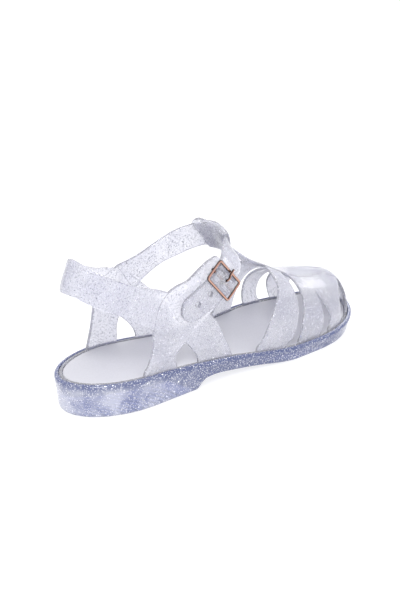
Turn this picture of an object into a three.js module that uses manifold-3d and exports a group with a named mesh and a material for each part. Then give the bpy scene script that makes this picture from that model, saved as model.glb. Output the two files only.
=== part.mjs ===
import * as THREE from 'three';
import { mergeVertices } from 'three/addons/utils/BufferGeometryUtils.js';
import Module from 'manifold-3d';

const wasm = await Module();
wasm.setup();

// Clear glitter jelly sandal for the right foot, in millimetres.
// x runs from the back of the heel to the toe, y towards the inner side of the foot, z up from the floor.
// The group is moved at the end, so that the origin lies under the middle of the heel.

// Sole
const LENGTH = 250;
const BALL_WIDTH = 85;
const HEEL_WIDTH = 65;
const HEEL_ROUND = 50;
const TOE_ROUND = 66;
const TOE_SHIFT = 4;
const HEEL_RIM = 22.5;
const BALL_RIM = 10.8;
const TOE_SPRING = 4.8;
const HEEL_BREAST = 84;
const HEEL_CENTRE = 42;
const ARCH_RISE = 6;
const SIDE_TAPER = 2;
const BOTTOM_EDGE = 2.6;
const TOP_EDGE = 2;

// Rim, seat of the upper and insole
const GAP = 0.3;
const RIM_WIDTH = 2.6;
const WALL = 2.2;
const RIM_STEP = 0.2;
const MARGIN_WIDTH = 4.4;
const MARGIN_THICKNESS = 1.2;
const INSOLE_THICKNESS = 2;
const INSOLE_EDGE = 0.5;

// Heights and shape of the last above the rim
const BAND_TOP = 74.5;
const BAND_LEAN = 10;
const LEAN_REACH = 110;
const INSTEP_RISE = 67;
const TOE_BOX_RISE = 29;
const CREST_SHIFT = 2.5;
const CREST_FADE = 100;
const DOME_FLAT = 2.3;
const TOE_FAN = 205;
const TOE_CREST_END = 232;

// Straps
const ROOT_DEPTH = 3;
const STRAP_EDGE = 0.55;
const STRAP_SINK = 0.4;
const STRAP_WIDTH = 20.4;
const LOOP_WALL = 1.5;
const LOOP_FOLD = 1;
const LOOP_LOBE = 1.6;
const TAIL_HOLE = 4;

// Buckle
const BUCKLE_SEAT = 2.9;
const BUCKLE_TURN = 42;
const BUCKLE_LENGTH = 16;
const BUCKLE_WIDTH = 27;
const BUCKLE_DROP = 1.4;
const WIRE = 1.8;
const CORNER = 1.4;
const PRONG = 1.5;
const PRONG_ARCH = 0.3;
const PRONG_OVERHANG = 2.4;
const SADDLE_SINK = 0.9;
const SADDLE_PRONG = 2.2;
const SADDLE_REACH = 8;
const BAR_SIDES = 8;

const SOLE_STATIONS = 36;
const STATION_CLEAR = 0.3;
const BREAST_ROWS = 4;
const OUTER = -1;
const INNER = 1;

// Half widths of the sole as shares of half the named width, measured from the centre line
const OUTLINE = [
  { at: 0.0, outer: 1.015, inner: 1.0, of: HEEL_WIDTH },
  { at: 0.2, outer: 1.015, inner: 1.0, of: HEEL_WIDTH },
  { at: 0.3, outer: 1.015, inner: 0.965, of: HEEL_WIDTH },
  { at: 0.42, outer: 1.025, inner: 0.917, of: HEEL_WIDTH },
  { at: 0.55, outer: 0.885, inner: 0.795, of: BALL_WIDTH },
  { at: 0.66, outer: 1.0, inner: 0.95, of: BALL_WIDTH },
  { at: 0.74, outer: 0.998, inner: 1.005, of: BALL_WIDTH },
  { at: 0.85, outer: 1.01, inner: 0.945, of: BALL_WIDTH },
  { at: 1.0, outer: 1.01, inner: 0.91, of: BALL_WIDTH },
];

// Sideways shift of the centre line as shares of the toe shift
const CENTRE = [
  { at: 0.0, shift: 0.0 },
  { at: 0.6, shift: 0.0 },
  { at: 0.76, shift: 0.1 },
  { at: 0.85, shift: 0.45 },
  { at: 0.92, shift: 0.73 },
  { at: 1.0, shift: 1.0 },
];

// Rim height: share of the drop from heel rim to ball rim that is left, plus share of the toe spring
const RIM = [
  { at: 0.0, drop: 1.0, spring: 0.0 },
  { at: 0.18, drop: 0.975, spring: 0.0 },
  { at: 0.3, drop: 0.785, spring: 0.0 },
  { at: 0.45, drop: 0.42, spring: 0.0 },
  { at: 0.6, drop: 0.08, spring: 0.0 },
  { at: 0.72, drop: 0.0, spring: 0.0 },
  { at: 0.86, drop: 0.0, spring: 0.25 },
  { at: 1.0, drop: 0.0, spring: 1.0 },
];

// Underside of the waist, from the foot of the heel breast to the ball, as shares of the arch rise
const WAIST = [
  { run: 0.0, rise: 0.0 },
  { run: 0.035, rise: 0.5 },
  { run: 0.09, rise: 0.9 },
  { run: 0.17, rise: 1.0 },
  { run: 0.35, rise: 0.8 },
  { run: 0.6, rise: 0.5 },
  { run: 0.82, rise: 0.15 },
  { run: 1.0, rise: 0.0 },
];
const BALL_CONTACT = 0.66;
const TOE_LIFT_START = 0.8;

// How the sides of the last close in and lean forward, against the height share of the heel band top
const SIDE_SHAPE = [
  { up: 0.0, width: 1.0, lean: 0.0 },
  { up: 0.11, width: 0.97, lean: 0.0 },
  { up: 0.27, width: 0.9, lean: 0.02 },
  { up: 0.45, width: 0.84, lean: 0.06 },
  { up: 0.73, width: 0.8, lean: 0.2 },
  { up: 0.88, width: 0.78, lean: 0.6 },
  { up: 1.0, width: 0.76, lean: 1.0 },
];

// Crest of the vamp: share of the way from toe box rise to instep rise above the rim
const CREST = [
  { at: 0.47, rise: 1.35 },
  { at: 0.54, rise: 1.0 },
  { at: 0.59, rise: 0.77 },
  { at: 0.63, rise: 0.61 },
  { at: 0.668, rise: 0.5 },
  { at: 0.708, rise: 0.375 },
  { at: 0.744, rise: 0.265 },
  { at: 0.788, rise: 0.17 },
  { at: 0.824, rise: 0.11 },
  { at: 0.884, rise: 0.0 },
  { at: 0.94, rise: -0.15 },
];

// Heel band and the strap that runs on from it to the sole, from the centre back.
// Columns: lower or rear edge, then upper or front edge; at is a share of the length,
// up a share of the heel band top.
const BAND_OUTER = [
  { lowAt: 0.0, lowUp: 0.735, topAt: 0.0, topUp: 1.0 },
  { lowAt: 0.008, lowUp: 0.725, topAt: 0.01, topUp: 0.98 },
  { lowAt: 0.035, lowUp: 0.67, topAt: 0.044, topUp: 0.92 },
  { lowAt: 0.096, lowUp: 0.57, topAt: 0.108, topUp: 0.83 },
  { lowAt: 0.156, lowUp: 0.46, topAt: 0.176, topUp: 0.745 },
  { lowAt: 0.212, lowUp: 0.35, topAt: 0.248, topUp: 0.67 },
  { lowAt: 0.262, lowUp: 0.265, topAt: 0.315, topUp: 0.56 },
  { lowAt: 0.304, lowUp: 0.195, topAt: 0.365, topUp: 0.46 },
  { lowAt: 0.327, lowUp: 0.11, topAt: 0.407, topUp: 0.36 },
  { lowAt: 0.338, lowUp: 0.035, topAt: 0.436, topUp: 0.17 },
  { lowAt: 0.338, lowUp: -0.04, topAt: 0.458, topUp: -0.04 },
];
const BAND_INNER = [
  { lowAt: 0.0, lowUp: 0.735, topAt: 0.0, topUp: 1.0 },
  { lowAt: 0.008, lowUp: 0.725, topAt: 0.01, topUp: 0.98 },
  { lowAt: 0.035, lowUp: 0.67, topAt: 0.044, topUp: 0.92 },
  { lowAt: 0.1, lowUp: 0.55, topAt: 0.11, topUp: 0.83 },
  { lowAt: 0.164, lowUp: 0.42, topAt: 0.178, topUp: 0.75 },
  { lowAt: 0.21, lowUp: 0.34, topAt: 0.245, topUp: 0.71 },
  { lowAt: 0.256, lowUp: 0.26, topAt: 0.31, topUp: 0.58 },
  { lowAt: 0.292, lowUp: 0.16, topAt: 0.36, topUp: 0.45 },
  { lowAt: 0.31, lowUp: 0.08, topAt: 0.4, topUp: 0.32 },
  { lowAt: 0.316, lowUp: 0.02, topAt: 0.43, topUp: 0.16 },
  { lowAt: 0.314, lowUp: -0.04, topAt: 0.45, topUp: -0.04 },
];

// Quarter straps that rise from the heel to the ankle strap and the buckle, with the same columns
const QUARTER_OUTER = [
  { lowAt: 0.16, lowUp: -0.04, topAt: 0.272, topUp: -0.04 },
  { lowAt: 0.165, lowUp: 0.02, topAt: 0.269, topUp: 0.02 },
  { lowAt: 0.18, lowUp: 0.085, topAt: 0.266, topUp: 0.095 },
  { lowAt: 0.2, lowUp: 0.22, topAt: 0.291, topUp: 0.165 },
  { lowAt: 0.21, lowUp: 0.37, topAt: 0.316, topUp: 0.225 },
  { lowAt: 0.236, lowUp: 0.58, topAt: 0.346, topUp: 0.3 },
  { lowAt: 0.28, lowUp: 0.685, topAt: 0.378, topUp: 0.365 },
  { lowAt: 0.324, lowUp: 0.725, topAt: 0.412, topUp: 0.44 },
  { lowAt: 0.36, lowUp: 0.805, topAt: 0.436, topUp: 0.505 },
  { lowAt: 0.396, lowUp: 0.875, topAt: 0.456, topUp: 0.58 },
  { lowAt: 0.42, lowUp: 0.9, topAt: 0.47, topUp: 0.64 },
  { lowAt: 0.434, lowUp: 0.872, topAt: 0.478, topUp: 0.685 },
];
const QUARTER_INNER = [
  { lowAt: 0.15, lowUp: -0.04, topAt: 0.258, topUp: -0.04 },
  { lowAt: 0.158, lowUp: 0.04, topAt: 0.257, topUp: 0.03 },
  { lowAt: 0.166, lowUp: 0.18, topAt: 0.255, topUp: 0.16 },
  { lowAt: 0.17, lowUp: 0.38, topAt: 0.262, topUp: 0.29 },
  { lowAt: 0.19, lowUp: 0.6, topAt: 0.29, topUp: 0.4 },
  { lowAt: 0.25, lowUp: 0.74, topAt: 0.325, topUp: 0.53 },
];

// Forefoot straps; turn runs from 0 on the crest to 1 on the sole, rear and front are shares of the length
const FORE_STRAPS = [
  {
    side: OUTER,
    rows: [
      { turn: 0.08, rear: 0.664, front: 0.72 },
      { turn: 0.25, rear: 0.65, front: 0.704 },
      { turn: 0.4, rear: 0.641, front: 0.701 },
      { turn: 0.6, rear: 0.612, front: 0.691 },
      { turn: 0.8, rear: 0.574, front: 0.67 },
      { turn: 0.93, rear: 0.547, front: 0.647 },
      { turn: 1.0, rear: 0.528, front: 0.622 },
      { turn: 2.0, rear: 0.526, front: 0.62 },
    ],
  },
  {
    side: OUTER,
    rows: [
      { turn: 0.08, rear: 0.745, front: 0.79 },
      { turn: 0.25, rear: 0.736, front: 0.772 },
      { turn: 0.4, rear: 0.727, front: 0.787 },
      { turn: 0.6, rear: 0.715, front: 0.784 },
      { turn: 0.8, rear: 0.691, front: 0.778 },
      { turn: 0.93, rear: 0.676, front: 0.765 },
      { turn: 1.0, rear: 0.667, front: 0.754 },
      { turn: 2.0, rear: 0.667, front: 0.753 },
    ],
  },
  {
    side: OUTER,
    rows: [
      { turn: 0.1, rear: 0.76, front: 0.93 },
      { turn: 0.25, rear: 0.765, front: 0.945 },
      { turn: 0.4, rear: 0.775, front: 0.965 },
      { turn: 0.6, rear: 0.795, front: 0.9 },
      { turn: 0.8, rear: 0.808, front: 0.874 },
      { turn: 0.93, rear: 0.798, front: 0.874 },
      { turn: 1.0, rear: 0.791, front: 0.862 },
      { turn: 2.0, rear: 0.791, front: 0.861 },
    ],
  },
  {
    side: INNER,
    rows: [
      { turn: 0.08, rear: 0.66, front: 0.73 },
      { turn: 0.25, rear: 0.656, front: 0.729 },
      { turn: 0.4, rear: 0.652, front: 0.728 },
      { turn: 0.6, rear: 0.642, front: 0.724 },
      { turn: 0.8, rear: 0.624, front: 0.713 },
      { turn: 0.93, rear: 0.61, front: 0.704 },
      { turn: 1.0, rear: 0.6, front: 0.698 },
      { turn: 2.0, rear: 0.6, front: 0.697 },
    ],
  },
  {
    side: INNER,
    rows: [
      { turn: 0.1, rear: 0.768, front: 0.82 },
      { turn: 0.25, rear: 0.758, front: 0.806 },
      { turn: 0.4, rear: 0.746, front: 0.799 },
      { turn: 0.6, rear: 0.738, front: 0.795 },
      { turn: 0.8, rear: 0.743, front: 0.798 },
      { turn: 0.93, rear: 0.75, front: 0.806 },
      { turn: 1.0, rear: 0.754, front: 0.814 },
      { turn: 2.0, rear: 0.754, front: 0.814 },
    ],
  },
  {
    side: INNER,
    rows: [
      { turn: 0.1, rear: 0.822, front: 0.93 },
      { turn: 0.25, rear: 0.817, front: 0.94 },
      { turn: 0.4, rear: 0.815, front: 0.945 },
      { turn: 0.6, rear: 0.82, front: 0.91 },
      { turn: 0.8, rear: 0.832, front: 0.9 },
      { turn: 0.93, rear: 0.842, front: 0.906 },
      { turn: 1.0, rear: 0.846, front: 0.906 },
      { turn: 2.0, rear: 0.846, front: 0.906 },
    ],
  },
];

// Rear edges of the toe cap on both sides, with the same columns; its two halves meet at the toe
const TOE_CAP = [
  { turn: 0.02, outer: 0.9, inner: 0.9 },
  { turn: 0.2, outer: 0.915, inner: 0.91 },
  { turn: 0.4, outer: 0.96, inner: 0.945 },
  { turn: 0.6, outer: 0.97, inner: 0.955 },
  { turn: 0.8, outer: 0.953, inner: 0.95 },
  { turn: 0.93, outer: 0.932, inner: 0.944 },
  { turn: 1.0, outer: 0.922, inner: 0.94 },
  { turn: 2.0, outer: 0.922, inner: 0.94 },
];

// Edges of the spine on both sides, as shares of the way from the crest to the seat
const SPINE = [
  { at: 0.516, outer: 0.344, inner: 0.457 },
  { at: 0.54, outer: 0.3, inner: 0.394 },
  { at: 0.57, outer: 0.234, inner: 0.303 },
  { at: 0.61, outer: 0.2, inner: 0.25 },
  { at: 0.65, outer: 0.206, inner: 0.244 },
  { at: 0.7, outer: 0.255, inner: 0.287 },
  { at: 0.76, outer: 0.335, inner: 0.36 },
  { at: 0.82, outer: 0.37, inner: 0.39 },
  { at: 0.87, outer: 0.36, inner: 0.37 },
  { at: 0.92, outer: 0.36, inner: 0.34 },
  { at: 0.985, outer: 0.36, inner: 0.3 },
];

// Buckle-strap edges from the tail tip over the instep to the inner quarter.
// Columns: upper or rear edge, then lower or front edge; along is a share of the length, out of the
// half width of the seat there, height of the heel band top over the heel rim. Three rows lie in the
// buckle: at its lower cross side, over its bar and at its upper cross side.
const ANKLE_STRAP = [
  { upAlong: 0.281, upOut: -0.944, upHeight: 0.517, lowAlong: 0.309, lowOut: -0.947, lowHeight: 0.294 },
  { upAlong: 0.298, upOut: -0.943, upHeight: 0.536, lowAlong: 0.326, lowOut: -0.945, lowHeight: 0.313 },
  { upAlong: 0.314, upOut: -0.941, upHeight: 0.557, lowAlong: 0.342, lowOut: -0.943, lowHeight: 0.33 },
  { upAlong: 0.353, upOut: -0.924, upHeight: 0.615, lowAlong: 0.39, lowOut: -0.925, lowHeight: 0.377 },
  { buckle: -1 },
  { buckle: 0 },
  { buckle: 1 },
  { upAlong: 0.438, upOut: -0.835, upHeight: 0.845, lowAlong: 0.5, lowOut: -0.794, lowHeight: 0.64 },
  { upAlong: 0.46, upOut: -0.642, upHeight: 0.885, lowAlong: 0.52, lowOut: -0.553, lowHeight: 0.72 },
  { upAlong: 0.49, upOut: -0.423, upHeight: 0.93, lowAlong: 0.528, lowOut: -0.266, lowHeight: 0.752 },
  { upAlong: 0.496, upOut: -0.1, upHeight: 0.975, lowAlong: 0.524, lowOut: 0.0, lowHeight: 0.762 },
  { upAlong: 0.478, upOut: 0.215, upHeight: 0.997, lowAlong: 0.506, lowOut: 0.31, lowHeight: 0.765 },
  { upAlong: 0.454, upOut: 0.476, upHeight: 0.966, lowAlong: 0.478, lowOut: 0.536, lowHeight: 0.732 },
  { upAlong: 0.418, upOut: 0.68, upHeight: 0.917, lowAlong: 0.44, lowOut: 0.721, lowHeight: 0.682 },
  { upAlong: 0.368, upOut: 0.814, upHeight: 0.831, lowAlong: 0.396, lowOut: 0.852, lowHeight: 0.631 },
  { upAlong: 0.312, upOut: 0.859, upHeight: 0.749, lowAlong: 0.35, lowOut: 0.903, lowHeight: 0.55 },
  { upAlong: 0.25, upOut: 0.836, upHeight: 0.71, lowAlong: 0.304, lowOut: 0.908, lowHeight: 0.45 },
];

// Middle of the buckle, in the same shares
const BUCKLE_AT = 0.4285;
const BUCKLE_UP = 0.614;

// How far the spine sinks under the toe cap towards its end
const SPINE_FADE = [
  { along: 0.0, depth: 0.0 },
  { along: 0.75, depth: 0.0 },
  { along: 0.9, depth: 0.1 },
  { along: 1.0, depth: 0.1 },
];

// Places along the ankle strap, as shares from the tail tip: rounded end of the tail, its holes, and
// the loop, whose ends slant from the rear edge of the strap to the front edge
const TAIL_ROUND = 0.125;
const TAIL_BLUNT = 0.004;
const TAIL_HOLES = [0.153, 0.216];
const LOOP_REAR = { start: 0.56, dip: 0.665, end: 0.725 };
const LOOP_FRONT = { start: 0.58, end: 0.668 };
const LOOP_LEAD = 0.03;

// Curve through a table column, with the slope at each inner row from the slopes before and after it
function curve(xs, ys, blend = monotone) {
  const n = xs.length;
  const slope = [];
  for (let i = 0; i < n - 1; i++) slope.push((ys[i + 1] - ys[i]) / (xs[i + 1] - xs[i]));
  const tangent = [slope[0]];
  for (let i = 1; i < n - 1; i++) {
    tangent.push(blend(slope[i - 1], slope[i], xs[i] - xs[i - 1], xs[i + 1] - xs[i]));
  }
  tangent.push(slope[n - 2]);
  return (x) => {
    const at = THREE.MathUtils.clamp(x, xs[0], xs[n - 1]);
    let i = 0;
    while (i < n - 2 && at > xs[i + 1]) i++;
    const span = xs[i + 1] - xs[i];
    const t = (at - xs[i]) / span;
    const rest = 1 - t;
    const start = ys[i] * (1 + 2 * t) + tangent[i] * span * t;
    const end = ys[i + 1] * (3 - 2 * t) - tangent[i + 1] * span * rest;
    return start * rest * rest + end * t * t;
  };
}

// Never passes the rows, for outlines and heights
function monotone(slopeBefore, slopeAfter, before, after) {
  if (slopeBefore * slopeAfter <= 0) return 0;
  const weight = (before + 2 * after) / (3 * (before + after));
  return (slopeBefore * slopeAfter) / (weight * slopeAfter + (1 - weight) * slopeBefore);
}

// Keeps its flow through evenly spaced rows, for straps that bend in space
const flowing = (slopeBefore, slopeAfter) => (slopeBefore + slopeAfter) / 2;

const column = (rows, key) => rows.map((row) => row[key]);
const tableCurve = (rows, from, key) => curve(column(rows, from), column(rows, key));
const rowCurve = (values, blend) => curve(values.map((_, i) => i / (values.length - 1)), values, blend);

// Sole outline
const widthRow = (key) => curve(column(OUTLINE, 'at'), OUTLINE.map((row) => (row[key] * row.of) / 2));
const outerHalf = widthRow('outer');
const innerHalf = widthRow('inner');
const centreShare = tableCurve(CENTRE, 'at', 'shift');
const centreLine = (x) => TOE_SHIFT * centreShare(x / LENGTH);

function endRounding(x) {
  const heel = Math.max(0, 1 - x / HEEL_ROUND);
  const toe = Math.max(0, 1 - (LENGTH - x) / TOE_ROUND);
  return Math.sqrt(Math.max(0, 1 - heel * heel - toe * toe));
}

// Where the outline is at a signed turn: 0 at the back of the heel, -1 and 1 at the toe
const lengthAt = (turn) => (LENGTH * (1 - Math.cos(Math.PI * Math.abs(turn)))) / 2;
const turnAt = (side, share) => (side * Math.acos(1 - 2 * share)) / Math.PI;

function outlinePoint(turn) {
  const x = lengthAt(turn);
  const y = centreLine(x);
  if (turn < 0) return new THREE.Vector2(x, y - (outerHalf(x / LENGTH) + y) * endRounding(x));
  return new THREE.Vector2(x, y + (innerHalf(x / LENGTH) - y) * endRounding(x));
}

function insetPoint(turn, inset) {
  const step = 0.002;
  const before = outlinePoint(Math.max(turn - step, -1));
  const after = outlinePoint(Math.min(turn + step, 1));
  const along = after.sub(before).normalize();
  return outlinePoint(turn).add(new THREE.Vector2(along.y, -along.x).multiplyScalar(inset));
}

const rimDrop = tableCurve(RIM, 'at', 'drop');
const rimSpring = tableCurve(RIM, 'at', 'spring');
const rimHeight = (x) =>
  BALL_RIM + (HEEL_RIM - BALL_RIM) * rimDrop(x / LENGTH) + TOE_SPRING * rimSpring(x / LENGTH);

const waistRise = tableCurve(WAIST, 'run', 'rise');
const waistLength = BALL_CONTACT * LENGTH - HEEL_BREAST;
function soleBottom(x) {
  const lift = Math.max(0, (x / LENGTH - TOE_LIFT_START) / (1 - TOE_LIFT_START));
  return ARCH_RISE * waistRise((x - HEEL_BREAST) / waistLength) + TOE_SPRING * lift * lift;
}

// Last surface over the sole: sides of the quarters and dome of the forefoot
const SEAT_INSET = RIM_WIDTH + GAP;
const sideWidth = tableCurve(SIDE_SHAPE, 'up', 'width');
const sideLean = tableCurve(SIDE_SHAPE, 'up', 'lean');

function sidePoint(turn, up) {
  const seat = insetPoint(turn, SEAT_INSET);
  const share = Math.max(up, 0) / BAND_TOP;
  const lean = BAND_LEAN * sideLean(share) * Math.max(0, 1 - seat.x / LEAN_REACH);
  return new THREE.Vector3(seat.x + lean, seat.y * sideWidth(share), rimHeight(seat.x) + up);
}

const crestShare = tableCurve(CREST, 'at', 'rise');
const crestRise = (x) => TOE_BOX_RISE + (INSTEP_RISE - TOE_BOX_RISE) * crestShare(x / LENGTH);
const crestCentre = (x) => centreLine(x) + CREST_SHIFT * Math.min(1, (LENGTH - x) / CREST_FADE);
const domeBase = (x) => rimHeight(x) - RIM_STEP;
const domeTop = (x) => rimHeight(x) + crestRise(x);

// Dome over the forefoot: the seat turn names the place on the outline that a line over the dome
// starts from, and turn runs up that line from 1 at the seat to 0 on the crest
function domePoint(seatTurn, turn) {
  const seat = insetPoint(seatTurn, SEAT_INSET);
  const fan = Math.max(0, seat.x - TOE_FAN) / (LENGTH - SEAT_INSET - TOE_FAN);
  const crestX = Math.min(seat.x, TOE_FAN) + fan * (TOE_CREST_END - TOE_FAN);
  const crestY = crestCentre(crestX);
  const angle = (Math.min(turn, 1) * Math.PI) / 2;
  const out = Math.pow(Math.sin(angle), 2 / DOME_FLAT);
  const base = domeBase(seat.x);
  const root = Math.max(0, turn - 1) * ROOT_DEPTH;
  return new THREE.Vector3(
    crestX + (seat.x - crestX) * out,
    crestY + (seat.y - crestY) * out,
    base + (domeTop(crestX) - base) * Math.cos(angle) - root,
  );
}

// The turn on the dome that lies at a share of the way from the crest line to the seat
const turnOut = (share) => (2 / Math.PI) * Math.asin(Math.pow(share, DOME_FLAT / 2));

// Mesh helpers
function solid(points, faces) {
  const geometry = new THREE.BufferGeometry();
  const places = points.flatMap((point) => [point.x, point.y, point.z]);
  geometry.setAttribute('position', new THREE.Float32BufferAttribute(places, 3));
  geometry.setIndex(faces.flat());
  const merged = mergeVertices(geometry, 1e-4);
  const index = merged.index.array;
  const position = merged.attributes.position;
  const [a, b, c] = [new THREE.Vector3(), new THREE.Vector3(), new THREE.Vector3()];
  const triangles = [];
  let volume = 0;
  for (let i = 0; i < index.length; i += 3) {
    const corners = [index[i], index[i + 1], index[i + 2]];
    if (new Set(corners).size < 3) continue;
    [a, b, c].forEach((corner, k) => corner.fromBufferAttribute(position, corners[k]));
    volume += a.dot(b.cross(c));
    triangles.push(corners);
  }
  const triVerts = new Uint32Array(triangles.flatMap((t) => (volume < 0 ? [t[0], t[2], t[1]] : t)));
  const vertProperties = new Float32Array(position.array);
  return new wasm.Manifold(new wasm.Mesh({ numProp: 3, vertProperties, triVerts }));
}

// Closed body through a stack of rings; each ring runs from a first point along one side to a
// middle point and back along the other side, so that its ends close across the width
function loft(rings) {
  const size = rings[0].length;
  const faces = [];
  for (let r = 0; r < rings.length - 1; r++) {
    for (let i = 0; i < size; i++) {
      const j = (i + 1) % size;
      const low = r * size;
      const high = low + size;
      faces.push([low + i, low + j, high + j], [low + i, high + j, high + i]);
    }
  }
  const half = size / 2;
  const last = (rings.length - 1) * size;
  for (let i = 0; i < half; i++) {
    const [a, b] = [i, i + 1];
    const [c, d] = [(size - i) % size, size - i - 1];
    faces.push([b, a, c], [b, c, d], [last + a, last + b, last + c], [last + c, last + b, last + d]);
  }
  return solid(rings.flat(), faces.filter((f) => new Set(f).size === 3));
}

// Closed tube through sections around a closed path
function closedSweep(sections) {
  const size = sections[0].length;
  const count = sections.length;
  const faces = [];
  for (let s = 0; s < count; s++) {
    const next = (s + 1) % count;
    for (let i = 0; i < size; i++) {
      const j = (i + 1) % size;
      const [low, high] = [s * size, next * size];
      faces.push([low + i, low + j, high + j], [low + i, high + j, high + i]);
    }
  }
  return solid(sections.flat(), faces);
}

// Band of even thickness on a surface given by along and across from 0 to 1. Its outer face lies
// at depth(along) under the surface, and it is widened past its two edges by start(along) and end.
function band(surface, options) {
  const { steps, across = 2, depth = () => 0, thickness = WALL, start = () => 0, end = 0 } = options;
  const { from = 0, to = 1 } = options;
  const nudge = 1e-3;
  const outward = (along, share) => {
    const ahead = surface(Math.min(along + nudge, 1), share);
    const behind = surface(Math.max(along - nudge, 0), share);
    const right = surface(along, Math.min(share + nudge, 1));
    const left = surface(along, Math.max(share - nudge, 0));
    const out = ahead.sub(behind).cross(right.sub(left)).normalize();
    const point = surface(along, share);
    const middleX = THREE.MathUtils.clamp(point.x, HEEL_ROUND, TOE_FAN);
    const middle = new THREE.Vector3(middleX, centreLine(middleX), rimHeight(middleX));
    return out.dot(point.sub(middle)) < 0 ? out.negate() : out;
  };
  const ring = (along) => {
    const over = surface(along, 1).sub(surface(along, 0));
    const bevel = STRAP_EDGE / over.length();
    over.normalize();
    const place = (share, under) => surface(along, share)
      .addScaledVector(outward(along, share), -under)
      .addScaledVector(over, end * share - start(along) * (1 - share));
    const shares = Array.from({ length: across + 1 }, (_, i) => bevel + ((1 - 2 * bevel) * i) / across);
    const top = depth(along);
    const bottom = top + thickness;
    return [
      place(0, (top + bottom) / 2),
      ...shares.map((share) => place(share, top)),
      place(1, (top + bottom) / 2),
      ...shares.map((share) => place(share, bottom)).reverse(),
    ];
  };
  return loft(Array.from({ length: steps + 1 }, (_, s) => ring(from + ((to - from) * s) / steps)));
}

const joined = (bodies) => bodies.reduce((whole, body) => whole.add(body));

// Round bar along a path; normal gives the side on which its first point lies
function barSections(path, normals, radius, closed) {
  const count = path.length;
  return path.map((point, i) => {
    const next = path[closed ? (i + 1) % count : Math.min(i + 1, count - 1)];
    const last = path[closed ? (i + count - 1) % count : Math.max(i - 1, 0)];
    const along = next.clone().sub(last).normalize();
    const across = along.clone().cross(normals[i]).normalize();
    const up = across.clone().cross(along).normalize();
    return Array.from({ length: BAR_SIDES }, (_, k) => {
      const angle = (2 * Math.PI * k) / BAR_SIDES;
      return point.clone()
        .addScaledVector(up, radius * Math.cos(angle))
        .addScaledVector(across, radius * Math.sin(angle));
    });
  });
}
const bar = (path, normal, radius) => loft(barSections(path, path.map(() => normal), radius, false));

// Sole, margin of the upper and insole, all from rings inside the outline
function soleTurns() {
  const even = Array.from({ length: SOLE_STATIONS - 1 }, (_, i) => (i + 1) / SOLE_STATIONS);
  const breast = WAIST.slice(0, BREAST_ROWS)
    .map((row) => turnAt(INNER, (HEEL_BREAST + row.run * waistLength) / LENGTH));
  const clear = STATION_CLEAR / SOLE_STATIONS;
  const kept = even.filter((turn) => breast.every((place) => Math.abs(place - turn) > clear));
  return [...kept, ...breast].sort((a, b) => a - b);
}

function ringAt(inset, height) {
  const point = (turn) => {
    const at = insetPoint(turn, inset);
    return new THREE.Vector3(at.x, at.y, height(at.x));
  };
  const turns = soleTurns();
  return [point(0), ...turns.map((turn) => point(-turn)), point(1), ...turns.map(point).reverse()];
}

const radians = THREE.MathUtils.degToRad;
const INSOLE_TOP = INSOLE_EDGE;
const INSOLE_BOTTOM = INSOLE_TOP + INSOLE_THICKNESS;
const MARGIN_TOP = INSOLE_BOTTOM + GAP;
const MARGIN_BOTTOM = MARGIN_TOP + MARGIN_THICKNESS;
const SEAT_FLOOR = MARGIN_BOTTOM + GAP;

function outsole() {
  const side = (share) => (x) => {
    const low = soleBottom(x) + BOTTOM_EDGE;
    return low + (rimHeight(x) - TOP_EDGE - low) * share;
  };
  const bottomEdge = (angle) => ringAt(
    SIDE_TAPER + BOTTOM_EDGE * (1 - Math.sin(radians(angle))),
    (x) => soleBottom(x) + BOTTOM_EDGE * (1 - Math.cos(radians(angle))),
  );
  const topEdge = (angle) => ringAt(
    TOP_EDGE * (1 - Math.sin(radians(angle))),
    (x) => rimHeight(x) - TOP_EDGE * (1 - Math.cos(radians(angle))),
  );
  return loft([
    ...[0, 35, 65].map(bottomEdge),
    ringAt(SIDE_TAPER, side(0)),
    ringAt(0, side(1)),
    ...[55, 25, 0].map(topEdge),
    ringAt(RIM_WIDTH, rimHeight),
    ringAt(RIM_WIDTH, (x) => rimHeight(x) - SEAT_FLOOR),
  ]);
}

const INSOLE_INSET = SEAT_INSET + WALL + GAP;
function insole() {
  const under = (depth) => (x) => rimHeight(x) - depth;
  return loft([
    ringAt(INSOLE_INSET, under(INSOLE_BOTTOM)),
    ringAt(INSOLE_INSET, under(INSOLE_TOP + INSOLE_EDGE)),
    ringAt(INSOLE_INSET + INSOLE_EDGE, under(INSOLE_TOP)),
  ]);
}

// Margin that carries every strap: an upright wall in the rim and a flange under the insole
function margin() {
  const corners = [
    { inset: SEAT_INSET, depth: RIM_STEP },
    { inset: SEAT_INSET + WALL, depth: RIM_STEP },
    { inset: SEAT_INSET + WALL, depth: MARGIN_TOP },
    { inset: SEAT_INSET + WALL + MARGIN_WIDTH, depth: MARGIN_TOP },
    { inset: SEAT_INSET + WALL + MARGIN_WIDTH, depth: MARGIN_BOTTOM },
    { inset: SEAT_INSET, depth: MARGIN_BOTTOM },
  ];
  const rings = corners.map(({ inset, depth }) => ringAt(inset, (x) => rimHeight(x) - depth));
  return closedSweep(rings[0].map((_, i) => rings.map((ring) => ring[i])));
}

// Straps on the sides of the last, whose rows say which side they are on
const sided = (side, rows) => rows.map((row) => ({ ...row, side }));
const heelBandRows = [...sided(OUTER, BAND_OUTER).slice(1).reverse(), ...sided(INNER, BAND_INNER)];

function sideStrap(rows) {
  const lowTurn = rowCurve(rows.map((row) => turnAt(row.side, row.lowAt)));
  const topTurn = rowCurve(rows.map((row) => turnAt(row.side, row.topAt)));
  const lowUp = rowCurve(rows.map((row) => row.lowUp * BAND_TOP));
  const topUp = rowCurve(rows.map((row) => row.topUp * BAND_TOP));
  return (along, across) => sidePoint(
    lowTurn(along) + (topTurn(along) - lowTurn(along)) * across,
    lowUp(along) + (topUp(along) - lowUp(along)) * across,
  );
}

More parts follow.
